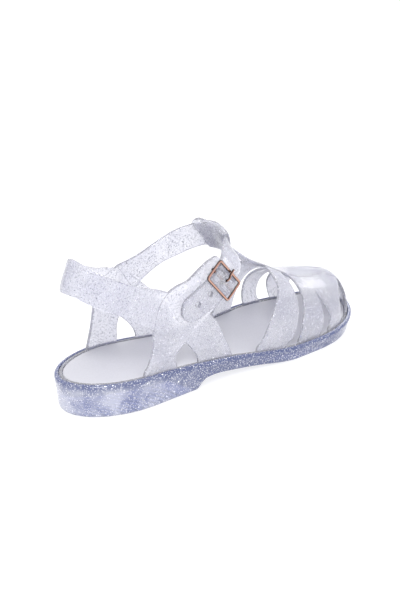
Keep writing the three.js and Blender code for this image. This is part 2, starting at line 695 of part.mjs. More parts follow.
// Straps over the dome of the forefoot
function foreStrap({ side, rows }) {
  const turn = rowCurve(column(rows, 'turn'));
  const rear = rowCurve(rows.map((row) => turnAt(side, row.rear)));
  const front = rowCurve(rows.map((row) => turnAt(side, row.front)));
  return (along, across) => domePoint(rear(along) + (front(along) - rear(along)) * across, turn(along));
}

function toeCap() {
  const turn = rowCurve(column(TOE_CAP, 'turn'));
  const outer = rowCurve(TOE_CAP.map((row) => 1 - turnAt(INNER, row.outer)));
  const inner = rowCurve(TOE_CAP.map((row) => 1 - turnAt(INNER, row.inner)));
  return (along, across) => {
    const past = -outer(along) + (outer(along) + inner(along)) * across;
    const side = past < 0 ? OUTER : INNER;
    return domePoint(side * (1 - Math.abs(past)), turn(along));
  };
}

function spine() {
  const at = rowCurve(column(SPINE, 'at'));
  const outer = rowCurve(column(SPINE, 'outer'));
  const inner = rowCurve(column(SPINE, 'inner'));
  return (along, across) => {
    const past = 2 * across - 1;
    const [side, edge] = past < 0 ? [OUTER, outer(along)] : [INNER, inner(along)];
    return domePoint(turnAt(side, at(along)), turnOut(edge * Math.abs(past)));
  };
}

// Bead inside the wall where the lines of the toe cap meet on the crest
function toeBead() {
  const path = [
    domePoint(turnAt(INNER, SPINE.at(-1).at), 0),
    domePoint(1, 0),
    domePoint(1, TOE_CAP[1].turn),
  ];
  path.forEach((point) => point.setZ(point.z - WALL / 2));
  return bar(path, new THREE.Vector3(0, 0, 1), WALL / 2 - GAP / 2);
}

// Place in the plane of the buckle: along the strap, across it and out from the foot. Its bar stands
// off the outer quarter, and its frame lies a little further out than the bar.
const strapWay = new THREE.Vector3(Math.cos(radians(BUCKLE_TURN)), 0, Math.sin(radians(BUCKLE_TURN)));
const crossWay = new THREE.Vector3(strapWay.z, 0, -strapWay.x);
const outWay = new THREE.Vector3(0, OUTER, 0);
const buckleX = BUCKLE_AT * LENGTH;
const buckleZ = HEEL_RIM + BUCKLE_UP * BAND_TOP;
const quarterThere = sidePoint(turnAt(OUTER, BUCKLE_AT), buckleZ - rimHeight(buckleX));
const BAR_OUT = OUTER * quarterThere.y + BUCKLE_SEAT;
const BUCKLE_OUT = BAR_OUT + BUCKLE_DROP;
const SADDLE_RADIUS = BUCKLE_SEAT + SADDLE_SINK;
const CROSS_REACH = (BUCKLE_LENGTH - WIRE) / 2;
const RAIL_REACH = (BUCKLE_WIDTH - WIRE) / 2;
function bucklePoint(along, across, out) {
  return new THREE.Vector3(buckleX, 0, buckleZ)
    .addScaledVector(strapWay, along)
    .addScaledVector(crossWay, across)
    .addScaledVector(outWay, out);
}

function ankleStrap() {
  const buckled = (place, across) => {
    const over = place === 0 ? BAR_OUT + WIRE / 2 + GAP + WALL : BUCKLE_OUT - WIRE / 2 - GAP;
    return bucklePoint(place * CROSS_REACH, (across * STRAP_WIDTH) / 2, over);
  };
  const laid = (along, out, height) => {
    const seat = insetPoint(turnAt(Math.sign(out) || INNER, along), SEAT_INSET);
    return new THREE.Vector3(along * LENGTH, out * Math.abs(seat.y), HEEL_RIM + height * BAND_TOP);
  };
  const edgeCurve = (name, across) => {
    const points = ANKLE_STRAP.map((row) => ('buckle' in row
      ? buckled(row.buckle, across)
      : laid(row[`${name}Along`], row[`${name}Out`], row[`${name}Height`])));
    const [x, y, z] = ['x', 'y', 'z'].map((axis) => rowCurve(column(points, axis), flowing));
    return (along) => new THREE.Vector3(x(along), y(along), z(along));
  };
  const up = edgeCurve('up', -1);
  const low = edgeCurve('low', 1);
  return (along, across) => {
    const short = 1 - Math.min(1, (along + TAIL_BLUNT) / TAIL_ROUND);
    return up(along).lerp(low(along), 0.5 + (across - 0.5) * Math.sqrt(1 - short * short));
  };
}

// Half ring behind the centre bar, which holds the buckle to the outer quarter, in degrees round the bar
const SADDLE_ARC = [-100, -60, -20, 20, 60, 100];
function barSaddle(from, to) {
  const inner = WIRE / 2 + GAP;
  const arc = SADDLE_ARC.map(radians);
  const section = (across) => {
    const at = (radius, angle) =>
      bucklePoint(radius * Math.sin(angle), across, BAR_OUT - radius * Math.cos(angle));
    const middle = (inner + SADDLE_RADIUS) / 2;
    return [
      at(middle, arc[0]),
      ...arc.map((angle) => at(SADDLE_RADIUS, angle)),
      at(middle, arc[arc.length - 1]),
      ...arc.map((angle) => at(inner, angle)).reverse(),
    ];
  };
  return loft([section(from), section(to)]);
}

// Prong: an eye round the centre bar and a shaft that comes through the strap and lies over the
// cross side. Room grows it for the hole that it needs in the strap and the saddle.
const EYE_STEPS = 12;
function buckleProng(room = 0) {
  const radius = PRONG / 2 + room;
  const eyeRadius = WIRE / 2 + GAP + PRONG / 2;
  const circle = Array.from({ length: EYE_STEPS }, (_, i) => {
    const angle = (2 * Math.PI * i) / EYE_STEPS;
    return bucklePoint(eyeRadius * Math.cos(angle), 0, BAR_OUT + eyeRadius * Math.sin(angle));
  });
  const eye = closedSweep(barSections(circle, circle.map(() => crossWay), radius, true));
  const rest = BUCKLE_OUT + WIRE / 2 + GAP + PRONG / 2;
  const strapTop = BAR_OUT + WIRE / 2 + GAP + WALL;
  const shaft = [
    { along: 0, out: BAR_OUT + eyeRadius },
    { along: 0.12, out: strapTop + PRONG / 4 },
    { along: 0.35, out: strapTop + PRONG / 2 + PRONG_ARCH },
    { along: 0.65, out: rest + PRONG_ARCH },
    { along: 1, out: rest },
    { along: 1 + PRONG_OVERHANG / CROSS_REACH, out: rest - PRONG_ARCH },
  ].map(({ along, out }) => bucklePoint(along * CROSS_REACH, 0, out));
  return eye.add(bar(shaft, outWay, radius));
}

// Loop at the top of the T-bar: it wraps over the rear edge of the strap with two lobes
function loopBody(strap) {
  const between = (start, end, across) => start + (end - start) * across;
  const surface = (along, across) => {
    const start = between(LOOP_REAR.start, LOOP_FRONT.start, across);
    const end = between(LOOP_REAR.end, LOOP_FRONT.end, across);
    return strap(start + (end - start) * along, across);
  };
  const dip = (LOOP_REAR.dip - LOOP_REAR.start) / (LOOP_REAR.end - LOOP_REAR.start);
  const lobe = (along) => Math.sin(Math.PI * (along < dip ? along / dip : (along - dip) / (1 - dip)));
  const room = GAP + LOOP_WALL;
  return band(surface, {
    steps: 16,
    depth: () => -room,
    thickness: WALL + 2 * room,
    start: (along) => GAP + LOOP_FOLD + LOOP_LOBE * lobe(along),
    end: GAP + LOOP_FOLD,
  });
}

function loopTunnel(strap) {
  return band(strap, {
    steps: 16,
    from: LOOP_REAR.start - LOOP_LEAD,
    to: LOOP_REAR.end + LOOP_LEAD,
    depth: () => -GAP,
    thickness: WALL + 2 * GAP,
    start: () => GAP,
    end: GAP,
  });
}

function upper() {
  const strap = ankleStrap();
  const sunk = { depth: () => STRAP_SINK, thickness: WALL - STRAP_SINK };
  const spineDepth = tableCurve(SPINE_FADE, 'along', 'depth');
  const cage = joined([
    margin(),
    band(sideStrap(heelBandRows), { steps: 44, ...sunk }),
    band(sideStrap(sided(OUTER, QUARTER_OUTER)), { steps: 22 }),
    band(sideStrap(sided(INNER, QUARTER_INNER)), { steps: 14 }),
    ...FORE_STRAPS.map((row) => band(foreStrap(row), { steps: 14, ...sunk })),
    band(toeCap(), { steps: 9, across: 10 }),
    band(spine(), { steps: 24, across: 4, depth: spineDepth }),
    toeBead(),
    barSaddle(-SADDLE_REACH, -SADDLE_PRONG),
    barSaddle(SADDLE_PRONG, SADDLE_REACH),
    loopBody(strap),
  ]);
  const holes = TAIL_HOLES.map((along) => {
    const centre = strap(along, 0.5);
    const ends = [-WALL, 2 * WALL].map((past) => centre.clone().setY(centre.y + past));
    return bar(ends, strapWay, TAIL_HOLE / 2);
  });
  const buckled = band(strap, { steps: 50 });
  const punched = holes.reduce((whole, hole) => whole.subtract(hole), buckled);
  return cage.subtract(loopTunnel(strap)).add(punched).subtract(buckleProng(GAP));
}

// Buckle: a flat wire frame with a centre bar behind it, and a prong hung on the bar
const CORNER_STEPS = [0, 30, 60, 90];
function buckleFrame() {
  const corner = CORNER_STEPS.map(radians);
  const quarter = (sx, sy) => corner.map((angle) => ({
    along: sx * (CROSS_REACH - CORNER + CORNER * Math.cos(angle)),
    across: sy * (RAIL_REACH - CORNER + CORNER * Math.sin(angle)),
  }));
  const outline = [
    ...quarter(1, 1),
    ...quarter(-1, 1).reverse(),
    ...quarter(-1, -1),
    ...quarter(1, -1).reverse(),
  ];
  const path = outline.map(({ along, across }) => bucklePoint(along, across, BUCKLE_OUT));
  const frame = closedSweep(barSections(path, path.map(() => outWay), WIRE / 2, true));
  const ends = [-RAIL_REACH, RAIL_REACH].map((across) => bucklePoint(0, across, BAR_OUT));
  return frame.add(bar(ends, outWay, WIRE / 2));
}

// Scene graph
const part = new THREE.Group();
part.name = 'jelly_sandal';
part.position.x = -HEEL_CENTRE;

function addPiece(name, body, { color, roughness, metalness = 0, opacity = 1 }) {
  const mesh = body.getMesh();
  const geometry = new THREE.BufferGeometry();
  geometry.setAttribute('position', new THREE.BufferAttribute(new Float32Array(mesh.vertProperties), 3));
  geometry.setIndex(new THREE.BufferAttribute(new Uint32Array(mesh.triVerts), 1));
  geometry.computeVertexNormals();
  const material = new THREE.MeshStandardMaterial({
    color, roughness, metalness, opacity, transparent: opacity < 1,
  });
  const piece = new THREE.Mesh(geometry, material);
  piece.name = name;
  part.add(piece);
}

addPiece('outsole', outsole(), { color: 0x9a9fc0, roughness: 0.25, opacity: 0.85 });
addPiece('upper', upper(), { color: 0xdcdae6, roughness: 0.2, opacity: 0.45 });
addPiece('insole', insole(), { color: 0xbab8c4, roughness: 0.5 });
addPiece('buckle_frame', buckleFrame(), { color: 0xb07a5a, roughness: 0.25, metalness: 1 });
addPiece('buckle_prong', buckleProng(), { color: 0xb07a5a, roughness: 0.25, metalness: 1 });

export default part;
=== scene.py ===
"""Looks of a clear glitter jelly sandal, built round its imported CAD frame.

Shapes are worked out in millimetres from the same named sizes and tables as the CAD part, with finer
steps and rounded edges. They become metres in the row's frame when a mesh is made.
"""
import math

import bmesh
import bpy
import numpy as np
from mathutils import Matrix


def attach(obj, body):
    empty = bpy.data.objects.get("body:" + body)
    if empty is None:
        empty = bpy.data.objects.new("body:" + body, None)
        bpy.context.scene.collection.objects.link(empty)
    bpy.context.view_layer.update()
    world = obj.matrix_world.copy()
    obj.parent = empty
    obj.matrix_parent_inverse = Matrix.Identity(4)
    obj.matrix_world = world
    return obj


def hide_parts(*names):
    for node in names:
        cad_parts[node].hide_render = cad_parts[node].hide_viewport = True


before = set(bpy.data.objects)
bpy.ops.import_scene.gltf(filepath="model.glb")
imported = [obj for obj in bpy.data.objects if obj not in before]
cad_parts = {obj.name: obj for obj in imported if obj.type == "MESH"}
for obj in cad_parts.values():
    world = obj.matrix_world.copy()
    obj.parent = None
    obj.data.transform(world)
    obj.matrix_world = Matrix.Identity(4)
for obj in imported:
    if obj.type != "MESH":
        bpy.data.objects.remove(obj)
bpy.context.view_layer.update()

# Sole, in millimetres
LENGTH = 250
BALL_WIDTH = 85
HEEL_WIDTH = 65
HEEL_ROUND = 50
TOE_ROUND = 66
TOE_SHIFT = 4
HEEL_RIM = 22.5
BALL_RIM = 10.8
TOE_SPRING = 4.8
HEEL_BREAST = 84
HEEL_CENTRE = 42
ARCH_RISE = 6
SIDE_TAPER = 2
BOTTOM_EDGE = 2.6
TOP_EDGE = 2

# Rim, seat of the upper and insole
GAP = 0.3
RIM_WIDTH = 2.6
WALL = 2.2
RIM_STEP = 0.2
MARGIN_WIDTH = 4.4
MARGIN_THICKNESS = 1.2
INSOLE_THICKNESS = 2
INSOLE_EDGE = 0.5
SEAT_INSET = RIM_WIDTH + GAP

# Heights and shape of the last above the rim
BAND_TOP = 74.5
BAND_LEAN = 10
LEAN_REACH = 110
INSTEP_RISE = 67
TOE_BOX_RISE = 29
CREST_SHIFT = 2.5
CREST_FADE = 100
DOME_FLAT = 2.3
TOE_FAN = 205
TOE_CREST_END = 232

# Straps
ROOT_DEPTH = 3
STRAP_SINK = 0.4
STRAP_WIDTH = 20.4
LOOP_WALL = 1.5
LOOP_FOLD = 1
LOOP_LOBE = 1.6
TAIL_HOLE = 4

# Buckle
BUCKLE_SEAT = 2.9
BUCKLE_TURN = math.radians(42)
BUCKLE_LENGTH = 16
BUCKLE_WIDTH = 27
BUCKLE_DROP = 1.4
WIRE = 1.8
CORNER = 1.4
PRONG = 1.5
PRONG_ARCH = 0.3
PRONG_OVERHANG = 2.4
SADDLE_SINK = 0.9
SADDLE_PRONG = 2.2
SADDLE_REACH = 8

BALL_CONTACT = 0.66
TOE_LIFT_START = 0.8
OUTER = -1
INNER = 1

# Half widths of the sole: at, outer share, inner share, named width
OUTLINE = [
    (0.0, 1.015, 1.0, HEEL_WIDTH),
    (0.2, 1.015, 1.0, HEEL_WIDTH),
    (0.3, 1.015, 0.965, HEEL_WIDTH),
    (0.42, 1.025, 0.917, HEEL_WIDTH),
    (0.55, 0.885, 0.795, BALL_WIDTH),
    (0.66, 1.0, 0.95, BALL_WIDTH),
    (0.74, 0.998, 1.005, BALL_WIDTH),
    (0.85, 1.01, 0.945, BALL_WIDTH),
    (1.0, 1.01, 0.91, BALL_WIDTH),
]
# Sideways shift of the centre line: at, share of the toe shift
CENTRE = [(0.0, 0.0), (0.6, 0.0), (0.76, 0.1), (0.85, 0.45), (0.92, 0.73), (1.0, 1.0)]
# Rim height: at, share of the drop from the heel rim, share of the toe spring
RIM = [
    (0.0, 1.0, 0.0),
    (0.18, 0.975, 0.0),
    (0.3, 0.785, 0.0),
    (0.45, 0.42, 0.0),
    (0.6, 0.08, 0.0),
    (0.72, 0.0, 0.0),
    (0.86, 0.0, 0.25),
    (1.0, 0.0, 1.0),
]
# Underside of the waist: share of the run from the heel breast to the ball, share of the arch rise
WAIST = [
    (0.0, 0.0),
    (0.035, 0.5),
    (0.09, 0.9),
    (0.17, 1.0),
    (0.35, 0.8),
    (0.6, 0.5),
    (0.82, 0.15),
    (1.0, 0.0),
]
# Sides of the last: share of the band top, width share, lean share
SIDE_SHAPE = [
    (0.0, 1.0, 0.0),
    (0.11, 0.97, 0.0),
    (0.27, 0.9, 0.02),
    (0.45, 0.84, 0.06),
    (0.73, 0.8, 0.2),
    (0.88, 0.78, 0.6),
    (1.0, 0.76, 1.0),
]
# Crest of the vamp: at, share of the way from toe box rise to instep rise
CREST = [
    (0.47, 1.35),
    (0.54, 1.0),
    (0.59, 0.77),
    (0.63, 0.61),
    (0.668, 0.5),
    (0.708, 0.375),
    (0.744, 0.265),
    (0.788, 0.17),
    (0.824, 0.11),
    (0.884, 0.0),
    (0.94, -0.15),
]
# Straps on the sides: low at, low up, top at, top up
BAND_OUTER = [
    (0.0, 0.735, 0.0, 1.0),
    (0.008, 0.725, 0.01, 0.98),
    (0.035, 0.67, 0.044, 0.92),
    (0.096, 0.57, 0.108, 0.83),
    (0.156, 0.46, 0.176, 0.745),
    (0.212, 0.35, 0.248, 0.67),
    (0.262, 0.265, 0.315, 0.56),
    (0.304, 0.195, 0.365, 0.46),
    (0.327, 0.11, 0.407, 0.36),
    (0.338, 0.035, 0.436, 0.17),
    (0.338, -0.04, 0.458, -0.04),
]
BAND_INNER = [
    (0.0, 0.735, 0.0, 1.0),
    (0.008, 0.725, 0.01, 0.98),
    (0.035, 0.67, 0.044, 0.92),
    (0.1, 0.55, 0.11, 0.83),
    (0.164, 0.42, 0.178, 0.75),
    (0.21, 0.34, 0.245, 0.71),
    (0.256, 0.26, 0.31, 0.58),
    (0.292, 0.16, 0.36, 0.45),
    (0.31, 0.08, 0.4, 0.32),
    (0.316, 0.02, 0.43, 0.16),
    (0.314, -0.04, 0.45, -0.04),
]
QUARTER_OUTER = [
    (0.16, -0.04, 0.272, -0.04),
    (0.165, 0.02, 0.269, 0.02),
    (0.18, 0.085, 0.266, 0.095),
    (0.2, 0.22, 0.291, 0.165),
    (0.21, 0.37, 0.316, 0.225),
    (0.236, 0.58, 0.346, 0.3),
    (0.28, 0.685, 0.378, 0.365),
    (0.324, 0.725, 0.412, 0.44),
    (0.36, 0.805, 0.436, 0.505),
    (0.396, 0.875, 0.456, 0.58),
    (0.42, 0.9, 0.47, 0.64),
    (0.434, 0.872, 0.478, 0.685),
]
QUARTER_INNER = [
    (0.15, -0.04, 0.258, -0.04),
    (0.158, 0.04, 0.257, 0.03),
    (0.166, 0.18, 0.255, 0.16),
    (0.17, 0.38, 0.262, 0.29),
    (0.19, 0.6, 0.29, 0.4),
    (0.25, 0.74, 0.325, 0.53),
]
# Forefoot straps: side, then rows of turn, rear and front
FORE_STRAPS = [
    (OUTER, [
        (0.08, 0.664, 0.72),
        (0.25, 0.65, 0.704),
        (0.4, 0.641, 0.701),
        (0.6, 0.612, 0.691),
        (0.8, 0.574, 0.67),
        (0.93, 0.547, 0.647),
        (1.0, 0.528, 0.622),
        (2.0, 0.526, 0.62),
    ]),
    (OUTER, [
        (0.08, 0.745, 0.79),
        (0.25, 0.736, 0.772),
        (0.4, 0.727, 0.787),
        (0.6, 0.715, 0.784),
        (0.8, 0.691, 0.778),
        (0.93, 0.676, 0.765),
        (1.0, 0.667, 0.754),
        (2.0, 0.667, 0.753),
    ]),
    (OUTER, [
        (0.1, 0.76, 0.93),
        (0.25, 0.765, 0.945),
        (0.4, 0.775, 0.965),
        (0.6, 0.795, 0.9),
        (0.8, 0.808, 0.874),
        (0.93, 0.798, 0.874),
        (1.0, 0.791, 0.862),
        (2.0, 0.791, 0.861),
    ]),
    (INNER, [
        (0.08, 0.66, 0.73),
        (0.25, 0.656, 0.729),
        (0.4, 0.652, 0.728),
        (0.6, 0.642, 0.724),
        (0.8, 0.624, 0.713),
        (0.93, 0.61, 0.704),
        (1.0, 0.6, 0.698),
        (2.0, 0.6, 0.697),
    ]),
    (INNER, [
        (0.1, 0.768, 0.82),
        (0.25, 0.758, 0.806),
        (0.4, 0.746, 0.799),
        (0.6, 0.738, 0.795),
        (0.8, 0.743, 0.798),
        (0.93, 0.75, 0.806),
        (1.0, 0.754, 0.814),
        (2.0, 0.754, 0.814),
    ]),
    (INNER, [
        (0.1, 0.822, 0.93),
        (0.25, 0.817, 0.94),
        (0.4, 0.815, 0.945),
        (0.6, 0.82, 0.91),
        (0.8, 0.832, 0.9),
        (0.93, 0.842, 0.906),
        (1.0, 0.846, 0.906),
        (2.0, 0.846, 0.906),
    ]),
]
# Toe cap: turn, rear edge on the outer side, rear edge on the inner side
TOE_CAP = [
    (0.02, 0.9, 0.9),
    (0.2, 0.915, 0.91),
    (0.4, 0.96, 0.945),
    (0.6, 0.97, 0.955),
    (0.8, 0.953, 0.95),
    (0.93, 0.932, 0.944),
    (1.0, 0.922, 0.94),
    (2.0, 0.922, 0.94),
]
# Spine: at, edges on the outer and inner side as shares of the way from the crest to the seat
SPINE = [
    (0.516, 0.344, 0.457),
    (0.54, 0.3, 0.394),
    (0.57, 0.234, 0.303),
    (0.61, 0.2, 0.25),
    (0.65, 0.206, 0.244),
    (0.7, 0.255, 0.287),
    (0.76, 0.335, 0.36),
    (0.82, 0.37, 0.39),
    (0.87, 0.36, 0.37),
    (0.92, 0.36, 0.34),
    (0.985, 0.36, 0.3),
]
# How far the spine sinks under the toe cap towards its end: along, depth
SPINE_FADE = [(0.0, 0.0), (0.75, 0.0), (0.9, 0.1), (1.0, 0.1)]
# Ankle strap: upper edge along, out, height, then lower edge along, out, height; a single number is
# a place across the buckle
ANKLE_STRAP = [
    (0.281, -0.944, 0.517, 0.309, -0.947, 0.294),
    (0.298, -0.943, 0.536, 0.326, -0.945, 0.313),
    (0.314, -0.941, 0.557, 0.342, -0.943, 0.33),
    (0.353, -0.924, 0.615, 0.39, -0.925, 0.377),
    -1,
    0,
    1,
    (0.438, -0.835, 0.845, 0.5, -0.794, 0.64),
    (0.46, -0.642, 0.885, 0.52, -0.553, 0.72),
    (0.49, -0.423, 0.93, 0.528, -0.266, 0.752),
    (0.496, -0.1, 0.975, 0.524, 0.0, 0.762),
    (0.478, 0.215, 0.997, 0.506, 0.31, 0.765),
    (0.454, 0.476, 0.966, 0.478, 0.536, 0.732),
    (0.418, 0.68, 0.917, 0.44, 0.721, 0.682),
    (0.368, 0.814, 0.831, 0.396, 0.852, 0.631),
    (0.312, 0.859, 0.749, 0.35, 0.903, 0.55),
    (0.25, 0.836, 0.71, 0.304, 0.908, 0.45),
]
# Middle of the buckle, in the same shares
BUCKLE_AT = 0.4285
BUCKLE_UP = 0.614
# Places along the ankle strap, as shares from the tail tip; the ends of the loop slant from the rear
# edge of the strap to the front edge
TAIL_ROUND = 0.125
TAIL_BLUNT = 0.0008
TAIL_HOLES = (0.153, 0.216)
LOOP_REAR = (0.56, 0.725)
LOOP_FRONT = (0.58, 0.668)
LOOP_DIP = 0.665
LOOP_LEAD = 0.03


def hermite(xs, ys, tangent):
    def at(x):
        x = np.clip(np.asarray(x, float), xs[0], xs[-1])
        i = np.clip(np.searchsorted(xs, x, side="right") - 1, 0, len(xs) - 2)
        span = xs[i + 1] - xs[i]
        t = (x - xs[i]) / span
        rest = 1 - t
        start = ys[i] * (1 + 2 * t) + tangent[i] * span * t
        end = ys[i + 1] * (3 - 2 * t) - tangent[i + 1] * span * rest
        return start * rest * rest + end * t * t
    return at


def curve(xs, ys):
    """Monotone curve through the points."""
    xs, ys = np.asarray(xs, float), np.asarray(ys, float)
    slope = np.diff(ys) / np.diff(xs)
    tangent = np.zeros(len(xs))
    tangent[0], tangent[-1] = slope[0], slope[-1]
    for i in range(1, len(xs) - 1):
        if slope[i - 1] * slope[i] > 0:
            before, after = xs[i] - xs[i - 1], xs[i + 1] - xs[i]
            weight = (before + 2 * after) / (3 * (before + after))
            tangent[i] = slope[i - 1] * slope[i] / (weight * slope[i] + (1 - weight) * slope[i - 1])
    return hermite(xs, ys, tangent)


def flowing(values):
    """Smooth curve through evenly spaced rows, from 0 to 1."""
    ys = np.asarray(values, float)
    xs = np.linspace(0, 1, len(ys))
    return hermite(xs, ys, np.gradient(ys, xs))


def columns(rows):
    return [list(values) for values in zip(*rows)]


def row_curve(values):
    return curve(np.linspace(0, 1, len(values)), values)


_at, _outer, _inner, _of = columns(OUTLINE)
outer_half = curve(_at, [share * of / 2 for share, of in zip(_outer, _of)])
inner_half = curve(_at, [share * of / 2 for share, of in zip(_inner, _of)])
centre_share = curve(*columns(CENTRE))


def centre_line(x):
    return TOE_SHIFT * centre_share(np.asarray(x) / LENGTH)


def end_rounding(x):
    heel = np.maximum(0, 1 - x / HEEL_ROUND)
    toe = np.maximum(0, 1 - (LENGTH - x) / TOE_ROUND)
    return np.sqrt(np.maximum(0, 1 - heel**2 - toe**2))


def length_at(turn):
    return LENGTH * (1 - np.cos(np.pi * np.abs(turn))) / 2


def turn_at(side, share):
    return side * np.arccos(1 - 2 * np.asarray(share)) / np.pi


def outline_point(turn):
    turn = np.asarray(turn, float)
    x = length_at(turn)
    y = centre_line(x)
    outer = y - (outer_half(x / LENGTH) + y) * end_rounding(x)
    inner = y + (inner_half(x / LENGTH) - y) * end_rounding(x)
    return np.stack([x, np.where(turn < 0, outer, inner)], -1)


def inset_point(turn, inset):
    step = 0.002
    turn = np.asarray(turn, float)
    ahead = outline_point(np.minimum(turn + step, 1))
    along = ahead - outline_point(np.maximum(turn - step, -1))
    along /= np.linalg.norm(along, axis=-1, keepdims=True)
    inward = np.stack([along[..., 1], -along[..., 0]], -1)
    return outline_point(turn) + inward * inset


rim_drop = curve([r[0] for r in RIM], [r[1] for r in RIM])
rim_spring = curve([r[0] for r in RIM], [r[2] for r in RIM])


def rim_height(x):
    x = np.asarray(x, float)
    return BALL_RIM + (HEEL_RIM - BALL_RIM) * rim_drop(x / LENGTH) + TOE_SPRING * rim_spring(x / LENGTH)


waist_rise = curve(*columns(WAIST))
WAIST_LENGTH = BALL_CONTACT * LENGTH - HEEL_BREAST


def sole_bottom(x):
    lift = np.maximum(0, (x / LENGTH - TOE_LIFT_START) / (1 - TOE_LIFT_START))
    return ARCH_RISE * waist_rise((x - HEEL_BREAST) / WAIST_LENGTH) + TOE_SPRING * lift**2


side_width = curve([r[0] for r in SIDE_SHAPE], [r[1] for r in SIDE_SHAPE])
side_lean = curve([r[0] for r in SIDE_SHAPE], [r[2] for r in SIDE_SHAPE])


def side_point(turn, up):
    seat = inset_point(turn, SEAT_INSET)
    x, y = seat[..., 0], seat[..., 1]
    share = np.maximum(up, 0) / BAND_TOP
    lean = BAND_LEAN * side_lean(share) * np.maximum(0, 1 - x / LEAN_REACH)
    return np.stack([x + lean, y * side_width(share), rim_height(x) + up], -1)


crest_share = curve(*columns(CREST))


def crest_rise(x):
    return TOE_BOX_RISE + (INSTEP_RISE - TOE_BOX_RISE) * crest_share(x / LENGTH)


def crest_centre(x):
    return centre_line(x) + CREST_SHIFT * np.minimum(1, (LENGTH - x) / CREST_FADE)


def dome_base(x):
    return rim_height(x) - RIM_STEP


def dome_top(x):
    return rim_height(x) + crest_rise(x)


def dome_point(seat_turn, turn):
    seat = inset_point(seat_turn, SEAT_INSET)
    x = seat[..., 0]
    fan = np.maximum(0, x - TOE_FAN) / (LENGTH - SEAT_INSET - TOE_FAN)
    crest_x = np.minimum(x, TOE_FAN) + fan * (TOE_CREST_END - TOE_FAN)
    crest_y = crest_centre(crest_x)
    angle = np.minimum(turn, 1) * np.pi / 2
    out = np.sin(angle) ** (2 / DOME_FLAT)
    base = dome_base(x)
    root = np.maximum(0, turn - 1) * ROOT_DEPTH
    return np.stack([
        crest_x + (x - crest_x) * out,
        crest_y + (seat[..., 1] - crest_y) * out,
        base + (dome_top(crest_x) - base) * np.cos(angle) - root,
    ], -1)


def turn_out(share):
    """The turn on the dome that lies at a share of the way from the crest line to the seat."""
    return 2 / np.pi * np.arcsin(share ** (DOME_FLAT / 2))


STRAP_WAY = np.array([math.cos(BUCKLE_TURN), 0, math.sin(BUCKLE_TURN)])
CROSS_WAY = np.array([STRAP_WAY[2], 0, -STRAP_WAY[0]])
OUT_WAY = np.array([0.0, OUTER, 0.0])
CROSS_REACH = (BUCKLE_LENGTH - WIRE) / 2
RAIL_REACH = (BUCKLE_WIDTH - WIRE) / 2
BUCKLE_X = BUCKLE_AT * LENGTH
BUCKLE_Z = HEEL_RIM + BUCKLE_UP * BAND_TOP
BAR_OUT = OUTER * side_point(turn_at(OUTER, BUCKLE_AT), BUCKLE_Z - rim_height(BUCKLE_X))[1] + BUCKLE_SEAT
BUCKLE_OUT = BAR_OUT + BUCKLE_DROP
SADDLE_RADIUS = BUCKLE_SEAT + SADDLE_SINK


def buckle_point(along, across, out):
    along, across, out = (np.asarray(v, float)[..., None] for v in (along, across, out))
    return np.array([BUCKLE_X, 0, BUCKLE_Z]) + along * STRAP_WAY + across * CROSS_WAY + out * OUT_WAY


def strap_edge(row, side):
    if isinstance(row, int):
        over = BAR_OUT + WIRE / 2 + GAP + WALL if row == 0 else BUCKLE_OUT - WIRE / 2 - GAP
        return buckle_point(row * CROSS_REACH, side * STRAP_WIDTH / 2, over)
    along, out, height = row[:3] if side < 0 else row[3:]
    seat = inset_point(turn_at(OUTER if out < 0 else INNER, along), SEAT_INSET)
    return np.array([along * LENGTH, out * abs(seat[1]), HEEL_RIM + height * BAND_TOP])


def ankle_strap():
    edges = []
    for side in (-1, 1):
        points = np.array([strap_edge(row, side) for row in ANKLE_STRAP])
        axes = [flowing(points[:, k]) for k in range(3)]
        edges.append(lambda along, axes=axes: np.stack([axis(along) for axis in axes], -1))
    upper, lower = edges

    def surface(along, across):
        short = 1 - np.minimum(1, (along + TAIL_BLUNT) / TAIL_ROUND)
        share = 0.5 + (np.asarray(across) - 0.5) * np.sqrt(1 - short**2)
        return upper(along) + (lower(along) - upper(along)) * share[..., None]
    return surface


# Fine meshes
EDGE_ROUND = 0.85
LOOP_ROUND = 2.2
ARC_STEPS = 4
BAR_SIDES = 20
WIRE_SIDES = 24
HOLE_SIDES = 24
EYE_STEPS = 40
SHAFT_STEPS = 60
CORNER_STEPS = 8
SADDLE_STEPS = 14
SADDLE_ARC = math.radians(100)
MM = 0.001
SAME_POINT = 1e-7
NO_LENGTH = 1e-8
SHARP_ANGLE = math.radians(38)


def mesh_object(name, points, faces):
    """New mesh object from points in millimetres of the tables, turned so that its faces look outwards."""
    places = (np.asarray(points, float).reshape(-1, 3) - [HEEL_CENTRE, 0, 0]) * MM
    mesh = bpy.data.meshes.new(name)
    mesh.from_pydata(places.tolist(), [], faces)
    piece = bpy.data.objects.new(name, mesh)
    bpy.context.scene.collection.objects.link(piece)
    weld(mesh)
    return piece


def weld(mesh):
    """Joins points that lie together, drops faces with no area and turns the closed mesh outwards."""
    work = bmesh.new()
    work.from_mesh(mesh)
    bmesh.ops.remove_doubles(work, verts=work.verts, dist=SAME_POINT)
    bmesh.ops.dissolve_degenerate(work, edges=work.edges, dist=NO_LENGTH)
    bmesh.ops.recalc_face_normals(work, faces=work.faces)
    if work.calc_volume(signed=True) < 0:
        bmesh.ops.reverse_faces(work, faces=work.faces)
    work.to_mesh(mesh)
    work.free()


def ring_faces(rows, size, closed):
    """Quads between neighbouring rings of points; the last ring meets the first one if closed."""
    count = rows if closed else rows - 1
    faces = []
    for r in range(count):
        low, high = r * size, ((r + 1) % rows) * size
        for i in range(size):
            j = (i + 1) % size
            faces.append((low + i, low + j, high + j, high + i))
    return faces


